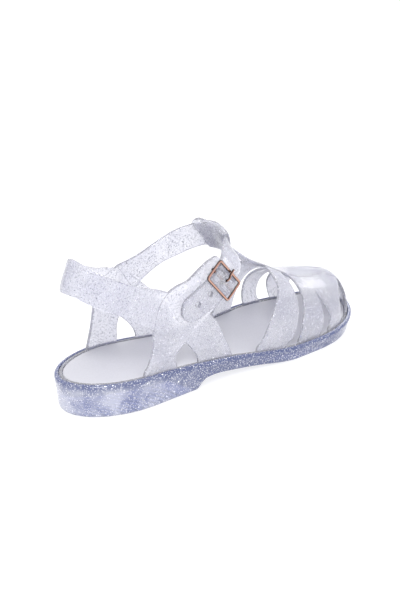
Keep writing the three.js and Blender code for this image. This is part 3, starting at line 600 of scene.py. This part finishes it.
def loft(name, rings):
    """Closed body through rings that run out along one side and back along the other."""
    rings = np.asarray(rings)
    rows, size = rings.shape[:2]
    faces = ring_faces(rows, size, False)
    last = (rows - 1) * size
    for i in range(size // 2):
        c, d = (size - i) % size, size - i - 1
        faces.append(tuple(dict.fromkeys((i + 1, i, c, d))))
        faces.append(tuple(dict.fromkeys((last + i, last + i + 1, last + d, last + c))))
    return mesh_object(name, rings, faces)


def closed_sweep(name, sections):
    sections = np.asarray(sections)
    rows, size = sections.shape[:2]
    return mesh_object(name, sections, ring_faces(rows, size, True))


def unit(vectors):
    return vectors / np.maximum(np.linalg.norm(vectors, axis=-1, keepdims=True), 1e-9)


def outward(surface, along, share):
    nudge = 1e-3
    ahead = surface(np.minimum(along + nudge, 1), share) - surface(np.maximum(along - nudge, 0), share)
    across = surface(along, np.minimum(share + nudge, 1)) - surface(along, np.maximum(share - nudge, 0))
    out = unit(np.cross(ahead, across))
    point = surface(along, share)
    middle_x = np.clip(point[..., 0], HEEL_ROUND, TOE_FAN)
    middle = np.stack([middle_x, centre_line(middle_x), rim_height(middle_x)], -1)
    facing = np.sum(out * (point - middle), -1, keepdims=True)
    return np.where(facing < 0, -out, out)


def band_profile(thickness, across, rounding):
    """Closed outline of a strap with rounded edges: share side, way past the edge, depth."""
    r = min(rounding, thickness / 2)
    arc = np.linspace(0, np.pi / 2, ARC_STEPS + 1)
    top = [(0, r * (1 - math.sin(a)), r * (1 - math.cos(a))) for a in arc[::-1]]
    face = [(share, None, 0) for share in np.linspace(0, 1, across + 1)[1:-1]]
    far = [(1, r * (1 - math.sin(a)), r * (1 - math.cos(a))) for a in arc]
    upper_half = top + face + far
    lower_half = [(side, inset, thickness - depth) for side, inset, depth in reversed(upper_half)]
    return [(0, 0.0, thickness / 2)] + upper_half + [(1, 0.0, thickness / 2)] + lower_half


def band(name, surface, steps, across, depth=0, thickness=WALL, start=0.0, end=1.0, before=0, past=0,
         rounding=EDGE_ROUND):
    """Strap of even thickness on a surface given by along and across from 0 to 1.

    Its outer face lies at a depth under the surface, and it is widened before and past its two edges.
    Depth and before are numbers, or functions of along.
    """
    along = np.linspace(start, end, steps + 1)
    over = surface(along, np.ones(steps + 1)) - surface(along, np.zeros(steps + 1))
    width = np.linalg.norm(over, axis=-1)
    over = unit(over)
    sunk = depth(along) if callable(depth) else np.full(steps + 1, float(depth))
    early = before(along) if callable(before) else np.full(steps + 1, float(before))
    r = min(rounding, thickness / 2)
    rings = []
    for side, inset, under in band_profile(thickness, across, rounding):
        if inset is None:
            share = r / width + (1 - 2 * r / width) * side
        else:
            share = np.where(side == 0, inset / width, 1 - inset / width)
        push = past * share - early * (1 - share)
        point = surface(along, share) - outward(surface, along, share) * (sunk + under)[:, None]
        rings.append(point + over * push[:, None])
    return loft(name, np.stack(rings, 1))


def boolean(piece, tool, operation):
    """Joins or cuts one closed mesh with another, and removes the tool."""
    modifier = piece.modifiers.new(operation, "BOOLEAN")
    modifier.operation = operation
    modifier.solver = "MANIFOLD"
    modifier.object = tool
    bpy.context.view_layer.update()
    result = bpy.data.meshes.new_from_object(piece.evaluated_get(bpy.context.evaluated_depsgraph_get()))
    piece.modifiers.clear()
    old = piece.data
    piece.data = result
    bpy.data.meshes.remove(old)
    bpy.data.objects.remove(tool)


def joined(pieces):
    whole = pieces[0]
    for piece in pieces[1:]:
        boolean(whole, piece, "UNION")
    return whole


def smooth(piece):
    piece.data.shade_smooth()
    piece.data.set_sharp_from_angle(angle=SHARP_ANGLE)


def bar_sections(path, normals, radius, sides, closed):
    path = np.asarray(path, float)
    if closed:
        along = np.roll(path, -1, 0) - np.roll(path, 1, 0)
    else:
        along = np.gradient(path, axis=0)
    along = unit(along)
    across = unit(np.cross(along, normals))
    up = unit(np.cross(across, along))
    angle = np.linspace(0, 2 * np.pi, sides, endpoint=False)
    ring = np.cos(angle)[None, :, None] * up[:, None] + np.sin(angle)[None, :, None] * across[:, None]
    return path[:, None] + ring * np.reshape(radius, (-1, 1, 1))


def bar(name, path, normal, radius, sides):
    normals = np.tile(normal, (len(path), 1))
    return loft(name, bar_sections(path, normals, radius, sides, False))


# Sole and insole
SOLE_TURNS = 220
SIDE_STEPS = 6
INNER_LIP = 0.4
MARGIN_CHAMFER = 0.5


def ring_at(inset, height):
    turns = np.linspace(0, 1, SOLE_TURNS + 1)
    signed = np.concatenate([[0], -turns[1:-1], [1], turns[1:-1][::-1]])
    place = inset_point(signed, inset)
    return np.column_stack([place, height(place[:, 0])])


INSOLE_TOP = INSOLE_EDGE
INSOLE_BOTTOM = INSOLE_TOP + INSOLE_THICKNESS
MARGIN_TOP = INSOLE_BOTTOM + GAP
MARGIN_BOTTOM = MARGIN_TOP + MARGIN_THICKNESS
SEAT_FLOOR = MARGIN_BOTTOM + GAP


def sole_body():
    def side(share):
        def height(x):
            low = sole_bottom(x) + BOTTOM_EDGE
            return low + (rim_height(x) - TOP_EDGE - low) * share
        return height

    def bottom_edge(angle):
        inset = SIDE_TAPER + BOTTOM_EDGE * (1 - math.sin(angle))
        return ring_at(inset, lambda x: sole_bottom(x) + BOTTOM_EDGE * (1 - math.cos(angle)))

    def top_edge(angle):
        inset = TOP_EDGE * (1 - math.sin(angle))
        return ring_at(inset, lambda x: rim_height(x) - TOP_EDGE * (1 - math.cos(angle)))

    rounding = np.radians([0, 12, 25, 38, 50, 62, 75])
    shares = np.linspace(0, 1, SIDE_STEPS + 1)
    sides = [ring_at(SIDE_TAPER * (1 - share), side(share)) for share in shares]
    return loft("sole_body", [
        *[bottom_edge(angle) for angle in rounding],
        *sides,
        *[top_edge(angle) for angle in rounding[::-1]],
        ring_at(RIM_WIDTH - INNER_LIP, rim_height),
        ring_at(RIM_WIDTH, lambda x: rim_height(x) - INNER_LIP),
        ring_at(RIM_WIDTH, lambda x: rim_height(x) - SEAT_FLOOR),
    ])


# Grooves of the tread, in millimetres: the stretches from the heel that have them, then their sizes
GROOVED = [(12, 72), (130, 226)]
GROOVE_PITCH = 4.5
GROOVE_RADIUS = 1.2
GROOVE_DEPTH = 0.5
GROOVE_SIDES = 16
TREAD_INSET = 8


def treaded(body):
    """Cuts shallow grooves across the underside of the heel and of the forefoot."""
    turns = np.linspace(0, 1, SOLE_TURNS)
    sides = [inset_point(side * turns, TREAD_INSET) for side in (OUTER, INNER)]
    grooves = []
    for first, last in GROOVED:
        for x in np.arange(first, last, GROOVE_PITCH):
            z = float(sole_bottom(np.array(x))) + GROOVE_DEPTH - GROOVE_RADIUS
            ends = [[x, np.interp(x, side[:, 0], side[:, 1]), z] for side in sides]
            grooves.append(bar("groove", ends, [0, 0, 1], np.full(2, GROOVE_RADIUS), GROOVE_SIDES))
    boolean(body, joined(grooves), "DIFFERENCE")
    return body


INSOLE_INSET = SEAT_INSET + WALL + GAP


def footbed():
    def under(depth):
        return lambda x: rim_height(x) - depth
    edge = [(1 - math.sin(a), 1 - math.cos(a)) for a in np.radians([90, 70, 45, 20, 0])]
    return loft("footbed", [
        ring_at(INSOLE_INSET, under(INSOLE_BOTTOM)),
        *[ring_at(INSOLE_INSET + INSOLE_EDGE * a, under(INSOLE_TOP + INSOLE_EDGE * b)) for a, b in edge],
    ])


# Upper
def margin():
    inner = SEAT_INSET + WALL
    corners = [
        (SEAT_INSET, RIM_STEP + MARGIN_CHAMFER),
        (SEAT_INSET + MARGIN_CHAMFER, RIM_STEP),
        (inner - MARGIN_CHAMFER, RIM_STEP),
        (inner, RIM_STEP + MARGIN_CHAMFER),
        (inner, MARGIN_TOP),
        (inner + MARGIN_WIDTH, MARGIN_TOP),
        (inner + MARGIN_WIDTH, MARGIN_BOTTOM),
        (SEAT_INSET, MARGIN_BOTTOM),
    ]
    rings = [ring_at(inset, lambda x, depth=depth: rim_height(x) - depth) for inset, depth in corners]
    return closed_sweep("margin", np.stack(rings, 1))


def side_strap(rows):
    """Surface of a strap on the sides of the last, from rows of side, low at, low up, top at, top up."""
    low_turn = row_curve([turn_at(row[0], row[1]) for row in rows])
    top_turn = row_curve([turn_at(row[0], row[3]) for row in rows])
    low_up = row_curve([row[2] * BAND_TOP for row in rows])
    top_up = row_curve([row[4] * BAND_TOP for row in rows])

    def surface(along, across):
        turn = low_turn(along) + (top_turn(along) - low_turn(along)) * across
        return side_point(turn, low_up(along) + (top_up(along) - low_up(along)) * across)
    return surface


def sided(side, rows):
    return [(side, *row) for row in rows]


def fore_strap(side, rows):
    turn = row_curve([row[0] for row in rows])
    rear = row_curve([turn_at(side, row[1]) for row in rows])
    front = row_curve([turn_at(side, row[2]) for row in rows])
    return lambda along, across: dome_point(rear(along) + (front(along) - rear(along)) * across, turn(along))


def toe_cap():
    turn = row_curve([row[0] for row in TOE_CAP])
    outer = row_curve([1 - turn_at(INNER, row[1]) for row in TOE_CAP])
    inner = row_curve([1 - turn_at(INNER, row[2]) for row in TOE_CAP])

    def surface(along, across):
        past = -outer(along) + (outer(along) + inner(along)) * across
        side = np.where(past < 0, OUTER, INNER)
        return dome_point(side * (1 - np.abs(past)), turn(along))
    return surface


def spine():
    at = row_curve([row[0] for row in SPINE])
    outer = row_curve([row[1] for row in SPINE])
    inner = row_curve([row[2] for row in SPINE])

    def surface(along, across):
        past = 2 * np.asarray(across) - 1
        side = np.where(past < 0, OUTER, INNER)
        edge = np.where(past < 0, outer(along), inner(along))
        return dome_point(turn_at(side, at(along)), turn_out(edge * np.abs(past)))
    return surface


def toe_bead():
    """Bead inside the wall where the lines of the toe cap meet on the crest."""
    start = dome_point(turn_at(INNER, SPINE[-1][0]), 0)
    path = np.array([start, dome_point(1, 0), dome_point(1, TOE_CAP[1][0])]) - [0, 0, WALL / 2]
    return bar("toe_bead", path, [0, 0, 1], np.full(3, WALL / 2 - GAP / 2), BAR_SIDES)


def bar_saddle(start, end):
    inner = WIRE / 2 + GAP
    arc = np.linspace(-SADDLE_ARC, SADDLE_ARC, SADDLE_STEPS + 1)
    middle = (inner + SADDLE_RADIUS) / 2

    def section(across):
        def at(radius, angle):
            return buckle_point(radius * np.sin(angle), across, BAR_OUT - radius * np.cos(angle))
        ends = at(middle, arc[[0, -1]])
        return np.concatenate([ends[:1], at(SADDLE_RADIUS, arc), ends[1:], at(inner, arc[::-1])])
    return loft("bar_saddle", [section(start), section(end)])


def loop_body(strap):
    def surface(along, across):
        start = LOOP_REAR[0] + (LOOP_FRONT[0] - LOOP_REAR[0]) * across
        end = LOOP_REAR[1] + (LOOP_FRONT[1] - LOOP_REAR[1]) * across
        return strap(start + (end - start) * along, across)

    dip = (LOOP_DIP - LOOP_REAR[0]) / (LOOP_REAR[1] - LOOP_REAR[0])

    def wrap(along):
        lobe = np.where(along < dip, along / dip, (along - dip) / (1 - dip))
        return GAP + LOOP_FOLD + LOOP_LOBE * np.sin(np.pi * lobe)
    room = GAP + LOOP_WALL
    return band("loop", surface, 96, 14, depth=-room, thickness=WALL + 2 * room, before=wrap,
                past=GAP + LOOP_FOLD, rounding=LOOP_ROUND)


def loop_tunnel(strap):
    return band("tunnel", strap, 60, 10, depth=-GAP, thickness=WALL + 2 * GAP,
                start=LOOP_REAR[0] - LOOP_LEAD, end=LOOP_REAR[1] + LOOP_LEAD, before=GAP, past=GAP)


# Rounding of the prong's tip: share of the path where it starts, share of the radius left at its end
TIP_START = 0.95
TIP_END = 0.3


def prong(name, room=0.0):
    radius = PRONG / 2 + room
    eye_radius = WIRE / 2 + GAP + PRONG / 2
    angle = np.linspace(0, 2 * np.pi, EYE_STEPS, endpoint=False)
    circle = buckle_point(eye_radius * np.cos(angle), 0 * angle, BAR_OUT + eye_radius * np.sin(angle))
    normals = np.tile(CROSS_WAY, (len(circle), 1))
    radii = np.full(len(circle), radius)
    eye = closed_sweep(name, bar_sections(circle, normals, radii, BAR_SIDES, True))
    rest = BUCKLE_OUT + WIRE / 2 + GAP + PRONG / 2
    tip = 1 + PRONG_OVERHANG / CROSS_REACH
    strap_top = BAR_OUT + WIRE / 2 + GAP + WALL
    rows = [
        (0, BAR_OUT + eye_radius),
        (0.12, strap_top + PRONG / 4),
        (0.35, strap_top + PRONG / 2 + PRONG_ARCH),
        (0.65, rest + PRONG_ARCH),
        (1, rest),
        (tip, rest - PRONG_ARCH),
    ]
    at = np.linspace(0, 1, SHAFT_STEPS)
    along, out = (curve(np.linspace(0, 1, len(rows)), [row[k] for row in rows])(at) for k in (0, 1))
    past = np.clip((at - TIP_START) / (1 - TIP_START), 0, 1)
    tip_round = np.sqrt(np.clip(1 - past**2, TIP_END**2, 1))
    path = buckle_point(along * CROSS_REACH, 0 * at, out)
    shaft = bar("shaft", path, OUT_WAY, radius * tip_round, BAR_SIDES)
    return joined([eye, shaft])


def upper_shell():
    strap = ankle_strap()
    sunk = {"depth": STRAP_SINK, "thickness": WALL - STRAP_SINK}
    fade = curve(*columns(SPINE_FADE))
    heel_rows = sided(OUTER, BAND_OUTER[:0:-1]) + sided(INNER, BAND_INNER)
    pieces = [
        margin(),
        band("heel_band", side_strap(heel_rows), 260, 12, **sunk),
        band("quarter_outer", side_strap(sided(OUTER, QUARTER_OUTER)), 110, 12),
        band("quarter_inner", side_strap(sided(INNER, QUARTER_INNER)), 90, 12),
        *[band("fore_strap", fore_strap(side, rows), 90, 10, **sunk) for side, rows in FORE_STRAPS],
        band("toe_cap", toe_cap(), 80, 64),
        band("spine", spine(), 120, 16, depth=fade),
        toe_bead(),
        bar_saddle(-SADDLE_REACH, -SADDLE_PRONG),
        bar_saddle(SADDLE_PRONG, SADDLE_REACH),
        loop_body(strap),
    ]
    shell = joined(pieces)
    boolean(shell, loop_tunnel(strap), "DIFFERENCE")
    buckled = band("buckled", strap, 240, 10)
    for along in TAIL_HOLES:
        centre = strap(np.array(along), np.array(0.5))
        reach = np.outer([-2, 2 * WALL], [0, 1, 0])
        hole = bar("hole", centre + reach, STRAP_WAY, np.full(2, TAIL_HOLE / 2), HOLE_SIDES)
        boolean(buckled, hole, "DIFFERENCE")
    shell = joined([shell, buckled])
    boolean(shell, prong("prong_room", GAP), "DIFFERENCE")
    shell.name = "upper_shell"
    return shell


# Buckle
def buckle_wire():
    angle = np.radians(np.linspace(0, 90, CORNER_STEPS + 1))
    quarter = np.column_stack([CROSS_REACH - CORNER + CORNER * np.cos(angle),
                               RAIL_REACH - CORNER + CORNER * np.sin(angle)])
    outline = np.concatenate([
        quarter,
        quarter[::-1] * [-1, 1],
        quarter * [-1, -1],
        quarter[::-1] * [1, -1],
    ])
    path = buckle_point(outline[:, 0], outline[:, 1], np.full(len(outline), BUCKLE_OUT))
    normals = np.tile(OUT_WAY, (len(path), 1))
    radii = np.full(len(path), WIRE / 2)
    wire = closed_sweep("buckle_wire", bar_sections(path, normals, radii, WIRE_SIDES, True))
    ends = buckle_point(np.zeros(2), np.array([-RAIL_REACH, RAIL_REACH]), np.full(2, BAR_OUT))
    centre_bar = bar("centre_bar", ends, OUT_WAY, np.full(2, WIRE / 2), WIRE_SIDES)
    return joined([wire, centre_bar])


# Materials
def new_material(name):
    material = bpy.data.materials.new(name)
    material.use_nodes = True
    nodes = material.node_tree.nodes
    shader = nodes["Principled BSDF"]
    return material, nodes, material.node_tree.links, shader


def link_math(nodes, links, operation, first, second):
    node = nodes.new("ShaderNodeMath")
    node.operation = operation
    for socket, value in zip(node.inputs, (first, second)):
        if isinstance(value, (int, float)):
            socket.default_value = value
        else:
            links.new(value, socket)
    return node.outputs[0]


def flakes(nodes, links, place, size, share, radius):
    """Mask and random colour of glitter flakes: one in each cell of that size, kept for a share of them."""
    cells = nodes.new("ShaderNodeTexVoronoi")
    cells.inputs["Scale"].default_value = 1 / size
    links.new(place, cells.inputs["Vector"])
    split = nodes.new("ShaderNodeSeparateColor")
    links.new(cells.outputs["Color"], split.inputs["Color"])
    near = link_math(nodes, links, "LESS_THAN", cells.outputs["Distance"], radius)
    kept = link_math(nodes, links, "LESS_THAN", split.outputs["Red"], share)
    return link_math(nodes, links, "MULTIPLY", near, kept), cells.outputs["Color"]


def tilted(nodes, links, colour, amount):
    """Surface normal leant at random in each flake, so that the flakes sparkle apart."""
    centred = nodes.new("ShaderNodeVectorMath")
    centred.operation = "MULTIPLY_ADD"
    centred.inputs[1].default_value = (amount, amount, amount)
    centred.inputs[2].default_value = (-amount / 2, -amount / 2, -amount / 2)
    links.new(colour, centred.inputs[0])
    geometry = nodes.new("ShaderNodeNewGeometry")
    added = nodes.new("ShaderNodeVectorMath")
    added.operation = "ADD"
    links.new(geometry.outputs["Normal"], added.inputs[0])
    links.new(centred.outputs[0], added.inputs[1])
    straight = nodes.new("ShaderNodeVectorMath")
    straight.operation = "NORMALIZE"
    links.new(added.outputs[0], straight.inputs[0])
    return straight.outputs[0]


def ranged(nodes, links, value, low, high, start=0.0, end=1.0):
    node = nodes.new("ShaderNodeMapRange")
    node.interpolation_type = "SMOOTHSTEP"
    for name, limit in (("From Min", low), ("From Max", high), ("To Min", start), ("To Max", end)):
        node.inputs[name].default_value = limit
    links.new(value, node.inputs["Value"])
    return node.outputs["Result"]


def blended(nodes, links, share, first, second):
    """Mix of two colours, each a tuple or the output of a node."""
    mix = nodes.new("ShaderNodeMix")
    mix.data_type = "RGBA"
    links.new(share, mix.inputs["Factor"])
    for name, colour in (("A", first), ("B", second)):
        if isinstance(colour, tuple):
            mix.inputs[name].default_value = (*colour, 1)
        else:
            links.new(colour, mix.inputs[name])
    return mix.outputs["Result"]


def noise(nodes, links, place, scale, detail):
    node = nodes.new("ShaderNodeTexNoise")
    node.inputs["Scale"].default_value = scale
    node.inputs["Detail"].default_value = detail
    links.new(place, node.inputs["Vector"])
    return node.outputs["Fac"]


FLAKE_TILT = 1.3
FLAKE_ROUGHNESS = 0.3


def glitter_pvc(name, look):
    """Moulded PVC with metal flakes: a clear or milky base that tints light inside, and flakes over it."""
    material, nodes, links, base = new_material(name)
    place = nodes.new("ShaderNodeTexCoord").outputs["Object"]
    cloud = ranged(nodes, links, noise(nodes, links, place, look["cloud"], 3), 0.36, 0.64)
    colour = blended(nodes, links, cloud, look["shade"], look["tint"])
    # Painted shade: the colour is pulled towards the dark colour where each listed attribute is high.
    for attribute, low, high, most in look["painted_shade"]:
        mark = nodes.new("ShaderNodeAttribute")
        mark.attribute_name = attribute
        share = ranged(nodes, links, mark.outputs["Fac"], low, high, 0.0, most)
        colour = blended(nodes, links, share, colour, look["painted_shade_colour"])
    links.new(colour, base.inputs["Base Color"])
    base.inputs["Roughness"].default_value = look["roughness"]
    base.inputs["Coat Weight"].default_value = look["coat"]
    base.inputs["Coat Roughness"].default_value = 0.06
    base.inputs["IOR"].default_value = 1.5
    base.inputs["Transmission Weight"].default_value = look["clear"]
    bump = nodes.new("ShaderNodeBump")
    bump.inputs["Strength"].default_value = look["ripple"]
    bump.inputs["Distance"].default_value = 0.0005
    links.new(noise(nodes, links, place, 240, 2), bump.inputs["Height"])
    links.new(bump.outputs["Normal"], base.inputs["Normal"])
    surface = base.outputs[0]
    for size, share, radius, flake_colour, metallic in look["flakes"]:
        mask, random_colour = flakes(nodes, links, place, size, share, radius)
        flake = nodes.new("ShaderNodeBsdfPrincipled")
        flake.inputs["Base Color"].default_value = (*flake_colour, 1)
        flake.inputs["Metallic"].default_value = metallic
        flake.inputs["Roughness"].default_value = FLAKE_ROUGHNESS
        links.new(tilted(nodes, links, random_colour, FLAKE_TILT), flake.inputs["Normal"])
        blend = nodes.new("ShaderNodeMixShader")
        links.new(mask, blend.inputs["Fac"])
        links.new(surface, blend.inputs[1])
        links.new(flake.outputs[0], blend.inputs[2])
        surface = blend.outputs[0]
    links.new(surface, nodes["Material Output"].inputs["Surface"])
    inside = nodes.new("ShaderNodeVolumeAbsorption")
    inside.inputs["Color"].default_value = (*look["inside"], 1)
    inside.inputs["Density"].default_value = look["density"]
    links.new(inside.outputs[0], nodes["Material Output"].inputs["Volume"])
    return material


def insole_sheet():
    material, nodes, links, shader = new_material("insole_sheet")
    place = nodes.new("ShaderNodeTexCoord").outputs["Object"]
    grain = noise(nodes, links, place, 900, 4)
    tone = blended(nodes, links, grain, (0.53, 0.53, 0.58), (0.63, 0.63, 0.68))
    # Painted highlight: the rounded edge of the insole is painted near white, in place of the bright line of
    # light along it.
    edge = nodes.new("ShaderNodeAttribute")
    edge.attribute_name = "edge"
    painted_edge_highlight = ranged(nodes, links, edge.outputs["Fac"], 0.1, 0.9)
    colour = blended(nodes, links, painted_edge_highlight, tone, (0.95, 0.95, 0.97))
    links.new(colour, shader.inputs["Base Color"])
    shader.inputs["Roughness"].default_value = 0.42
    bump = nodes.new("ShaderNodeBump")
    bump.inputs["Strength"].default_value = 0.15
    bump.inputs["Distance"].default_value = 0.0002
    links.new(grain, bump.inputs["Height"])
    links.new(bump.outputs["Normal"], shader.inputs["Normal"])
    return material


def rose_gold():
    material, nodes, links, shader = new_material("rose_gold")
    place = nodes.new("ShaderNodeTexCoord").outputs["Object"]
    wear = noise(nodes, links, place, 700, 2)
    spread = nodes.new("ShaderNodeMapRange")
    spread.inputs["To Min"].default_value = 0.08
    spread.inputs["To Max"].default_value = 0.2
    links.new(wear, spread.inputs["Value"])
    links.new(spread.outputs["Result"], shader.inputs["Roughness"])
    # Painted shade: the wire's sides, turned away from the outer side, are painted near black in place of
    # dark reflections, and faces turned outwards keep the bright rose colour.
    facing = nodes.new("ShaderNodeVectorMath")
    facing.operation = "DOT_PRODUCT"
    facing.inputs[1].default_value = tuple(float(part) for part in OUT_WAY)
    links.new(nodes.new("ShaderNodeNewGeometry").outputs["Normal"], facing.inputs[0])
    painted_light_share = ranged(nodes, links, facing.outputs["Value"], 0.5, 0.97)
    colour = blended(nodes, links, painted_light_share, (0.04, 0.02, 0.018), (0.56, 0.34, 0.27))
    links.new(colour, shader.inputs["Base Color"])
    shader.inputs["Metallic"].default_value = 1
    return material


# The sandal
def put(piece, material, node):
    piece.data.materials.clear()
    piece.data.materials.append(material)
    smooth(piece)
    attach(piece, "root")
    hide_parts(node)


def marked(piece, name, value):
    """Stores a number with each point of a mesh, worked out from its place along and up."""
    places = np.array([vertex.co for vertex in piece.data.vertices]) / MM
    numbers = value(np.clip(places[:, 0] + HEEL_CENTRE, 0, LENGTH), places[:, 2])
    piece.data.attributes.new(name, "FLOAT", "POINT").data.foreach_set("value", numbers)
    return piece


def rise(x, z):
    """Share of the way from the underside of the sole to its rim."""
    return (z - sole_bottom(x)) / (rim_height(x) - sole_bottom(x))


def front(x, z):
    """Share of the way from the heel to the toe."""
    return x / LENGTH


def edge_drop(x, z):
    """How far a point lies below the top of the insole, as a share of its edge."""
    return (rim_height(x) - INSOLE_TOP - z) / INSOLE_EDGE


# Looks of the two plastics. Darker (painted shade): attribute, where its darkening starts and ends, how much
# of the dark
# colour. Flakes: size of a cell in metres, share of cells with a flake, radius as a share, colour, metallic
SILVER = (0.8, 0.8, 0.86)
WHITE = (0.95, 0.95, 1.0)
STEEL = (0.33, 0.34, 0.42)
UPPER_LOOK = {
    "tint": (0.91, 0.91, 0.95),
    "shade": (0.84, 0.84, 0.9),
    "cloud": 60,
    "painted_shade": [],
    "clear": 0.77,
    "roughness": 0.22,
    "coat": 0.25,
    "ripple": 0.02,
    "inside": (0.3, 0.33, 0.7),
    "density": 16,
    "flakes": [
        (0.0007, 0.16, 0.4, STEEL, 0.5),
        (0.0008, 0.11, 0.38, SILVER, 0.8),
        (0.0012, 0.035, 0.28, WHITE, 0.8),
    ],
}
SOLE_LOOK = {
    "tint": (0.66, 0.68, 0.78),
    "shade": (0.27, 0.3, 0.47),
    # Painted shade: darker towards the toe, in place of the darker insole seen through the thinner waist and
    # forefoot, and in a band under the rim, in place of a dark line of refraction.
    "painted_shade_colour": (0.13, 0.16, 0.33),
    "painted_shade": [("front", 0.04, 0.4, 0.85), ("rise", 0.75, 0.93, 0.8)],
    "cloud": 70,
    "clear": 0.35,
    "roughness": 0.12,
    "coat": 0.3,
    "ripple": 0.1,
    "inside": (0.35, 0.37, 0.75),
    "density": 40,
    "flakes": [
        (0.0006, 0.25, 0.42, STEEL, 0.5),
        (0.0006, 0.32, 0.4, SILVER, 0.8),
        (0.001, 0.13, 0.32, WHITE, 0.8),
    ],
}
upper_pvc = glitter_pvc("clear_pvc", UPPER_LOOK)
sole_pvc = glitter_pvc("sole_pvc", SOLE_LOOK)
# The rise and front shares steer the sole's painted shade.
sole = marked(marked(treaded(sole_body()), "rise", rise), "front", front)
put(sole, sole_pvc, "outsole")
# The edge share steers the painted highlight along the insole's edge.
put(marked(footbed(), "edge", edge_drop), insole_sheet(), "insole")
put(upper_shell(), upper_pvc, "upper")
metal = rose_gold()
put(buckle_wire(), metal, "buckle_frame")
put(prong("prong"), metal, "buckle_prong")


# Floor, light and camera
# Lamps: name, place, size, power
LAMPS = [
    ("key", (-0.5, -0.6, 0.9), 0.5, 6),
    ("fill", (0.9, 0.3, 0.7), 0.6, 3),
]


def studio():
    bpy.ops.mesh.primitive_plane_add(size=6)
    floor = bpy.context.object
    floor.name = "floor"
    material, _, _, shader = new_material("paper")
    shader.inputs["Base Color"].default_value = (0.35, 0.35, 0.36, 1)
    shader.inputs["Roughness"].default_value = 0.8
    shader.inputs["Emission Color"].default_value = (1, 1, 1, 1)
    shader.inputs["Emission Strength"].default_value = 0.75
    floor.data.materials.append(material)
    world = bpy.data.worlds.new("studio")
    world.use_nodes = True
    nodes, links = world.node_tree.nodes, world.node_tree.links
    way = nodes.new("ShaderNodeSeparateXYZ")
    links.new(nodes.new("ShaderNodeTexCoord").outputs["Generated"], way.inputs[0])
    height = ranged(nodes, links, way.outputs["Z"], 0.16, 0.42)
    sky = blended(nodes, links, height, (0.8, 0.81, 0.93), (1.0, 1.0, 1.0))
    links.new(sky, nodes["Background"].inputs["Color"])
    nodes["Background"].inputs["Strength"].default_value = 1.03
    bpy.context.scene.view_settings.view_transform = "Standard"
    bpy.context.scene.world = world
    for name, place, size, power in LAMPS:
        light = bpy.data.lights.new(name, "AREA")
        light.energy = power
        light.size = size
        lamp = bpy.data.objects.new(name, light)
        bpy.context.scene.collection.objects.link(lamp)
        lamp.location = place
        lamp.rotation_euler = (-lamp.location).to_track_quat("-Z", "Y").to_euler()


AZIMUTH = math.radians(-42.31)
ELEVATION = math.radians(22.15)
ROLL = math.radians(0.16)
DISTANCE = 747.7
TARGET = (125, 0, 30)
FOCAL_PIXELS = 1116.3
TARGET_PIXEL = (214.0, 316.95)
PHOTO = (400, 600)
SENSOR = 36


def photo_camera():
    camera = bpy.data.cameras.new("camera")
    camera.sensor_width = SENSOR
    camera.lens = FOCAL_PIXELS / PHOTO[1] * SENSOR
    camera.shift_x = (PHOTO[0] / 2 - TARGET_PIXEL[0]) / PHOTO[1]
    camera.shift_y = (TARGET_PIXEL[1] - PHOTO[1] / 2) / PHOTO[1]
    camera.clip_start = 0.01
    holder = bpy.data.objects.new("camera", camera)
    bpy.context.scene.collection.objects.link(holder)
    back = np.array([math.sin(AZIMUTH) * math.cos(ELEVATION), -math.cos(AZIMUTH) * math.cos(ELEVATION),
                     math.sin(ELEVATION)])
    right = np.array([math.cos(AZIMUTH), math.sin(AZIMUTH), 0])
    up = np.cross(back, right)
    rolled_right = right * math.cos(ROLL) + up * math.sin(ROLL)
    rolled_up = up * math.cos(ROLL) - right * math.sin(ROLL)
    place = (np.array(TARGET) + back * DISTANCE - [HEEL_CENTRE, 0, 0]) * MM
    turn = np.eye(4)
    turn[:3, 0], turn[:3, 1], turn[:3, 2], turn[:3, 3] = rolled_right, rolled_up, back, place
    holder.matrix_world = Matrix(turn.tolist())
    bpy.context.scene.camera = holder


studio()
photo_camera()
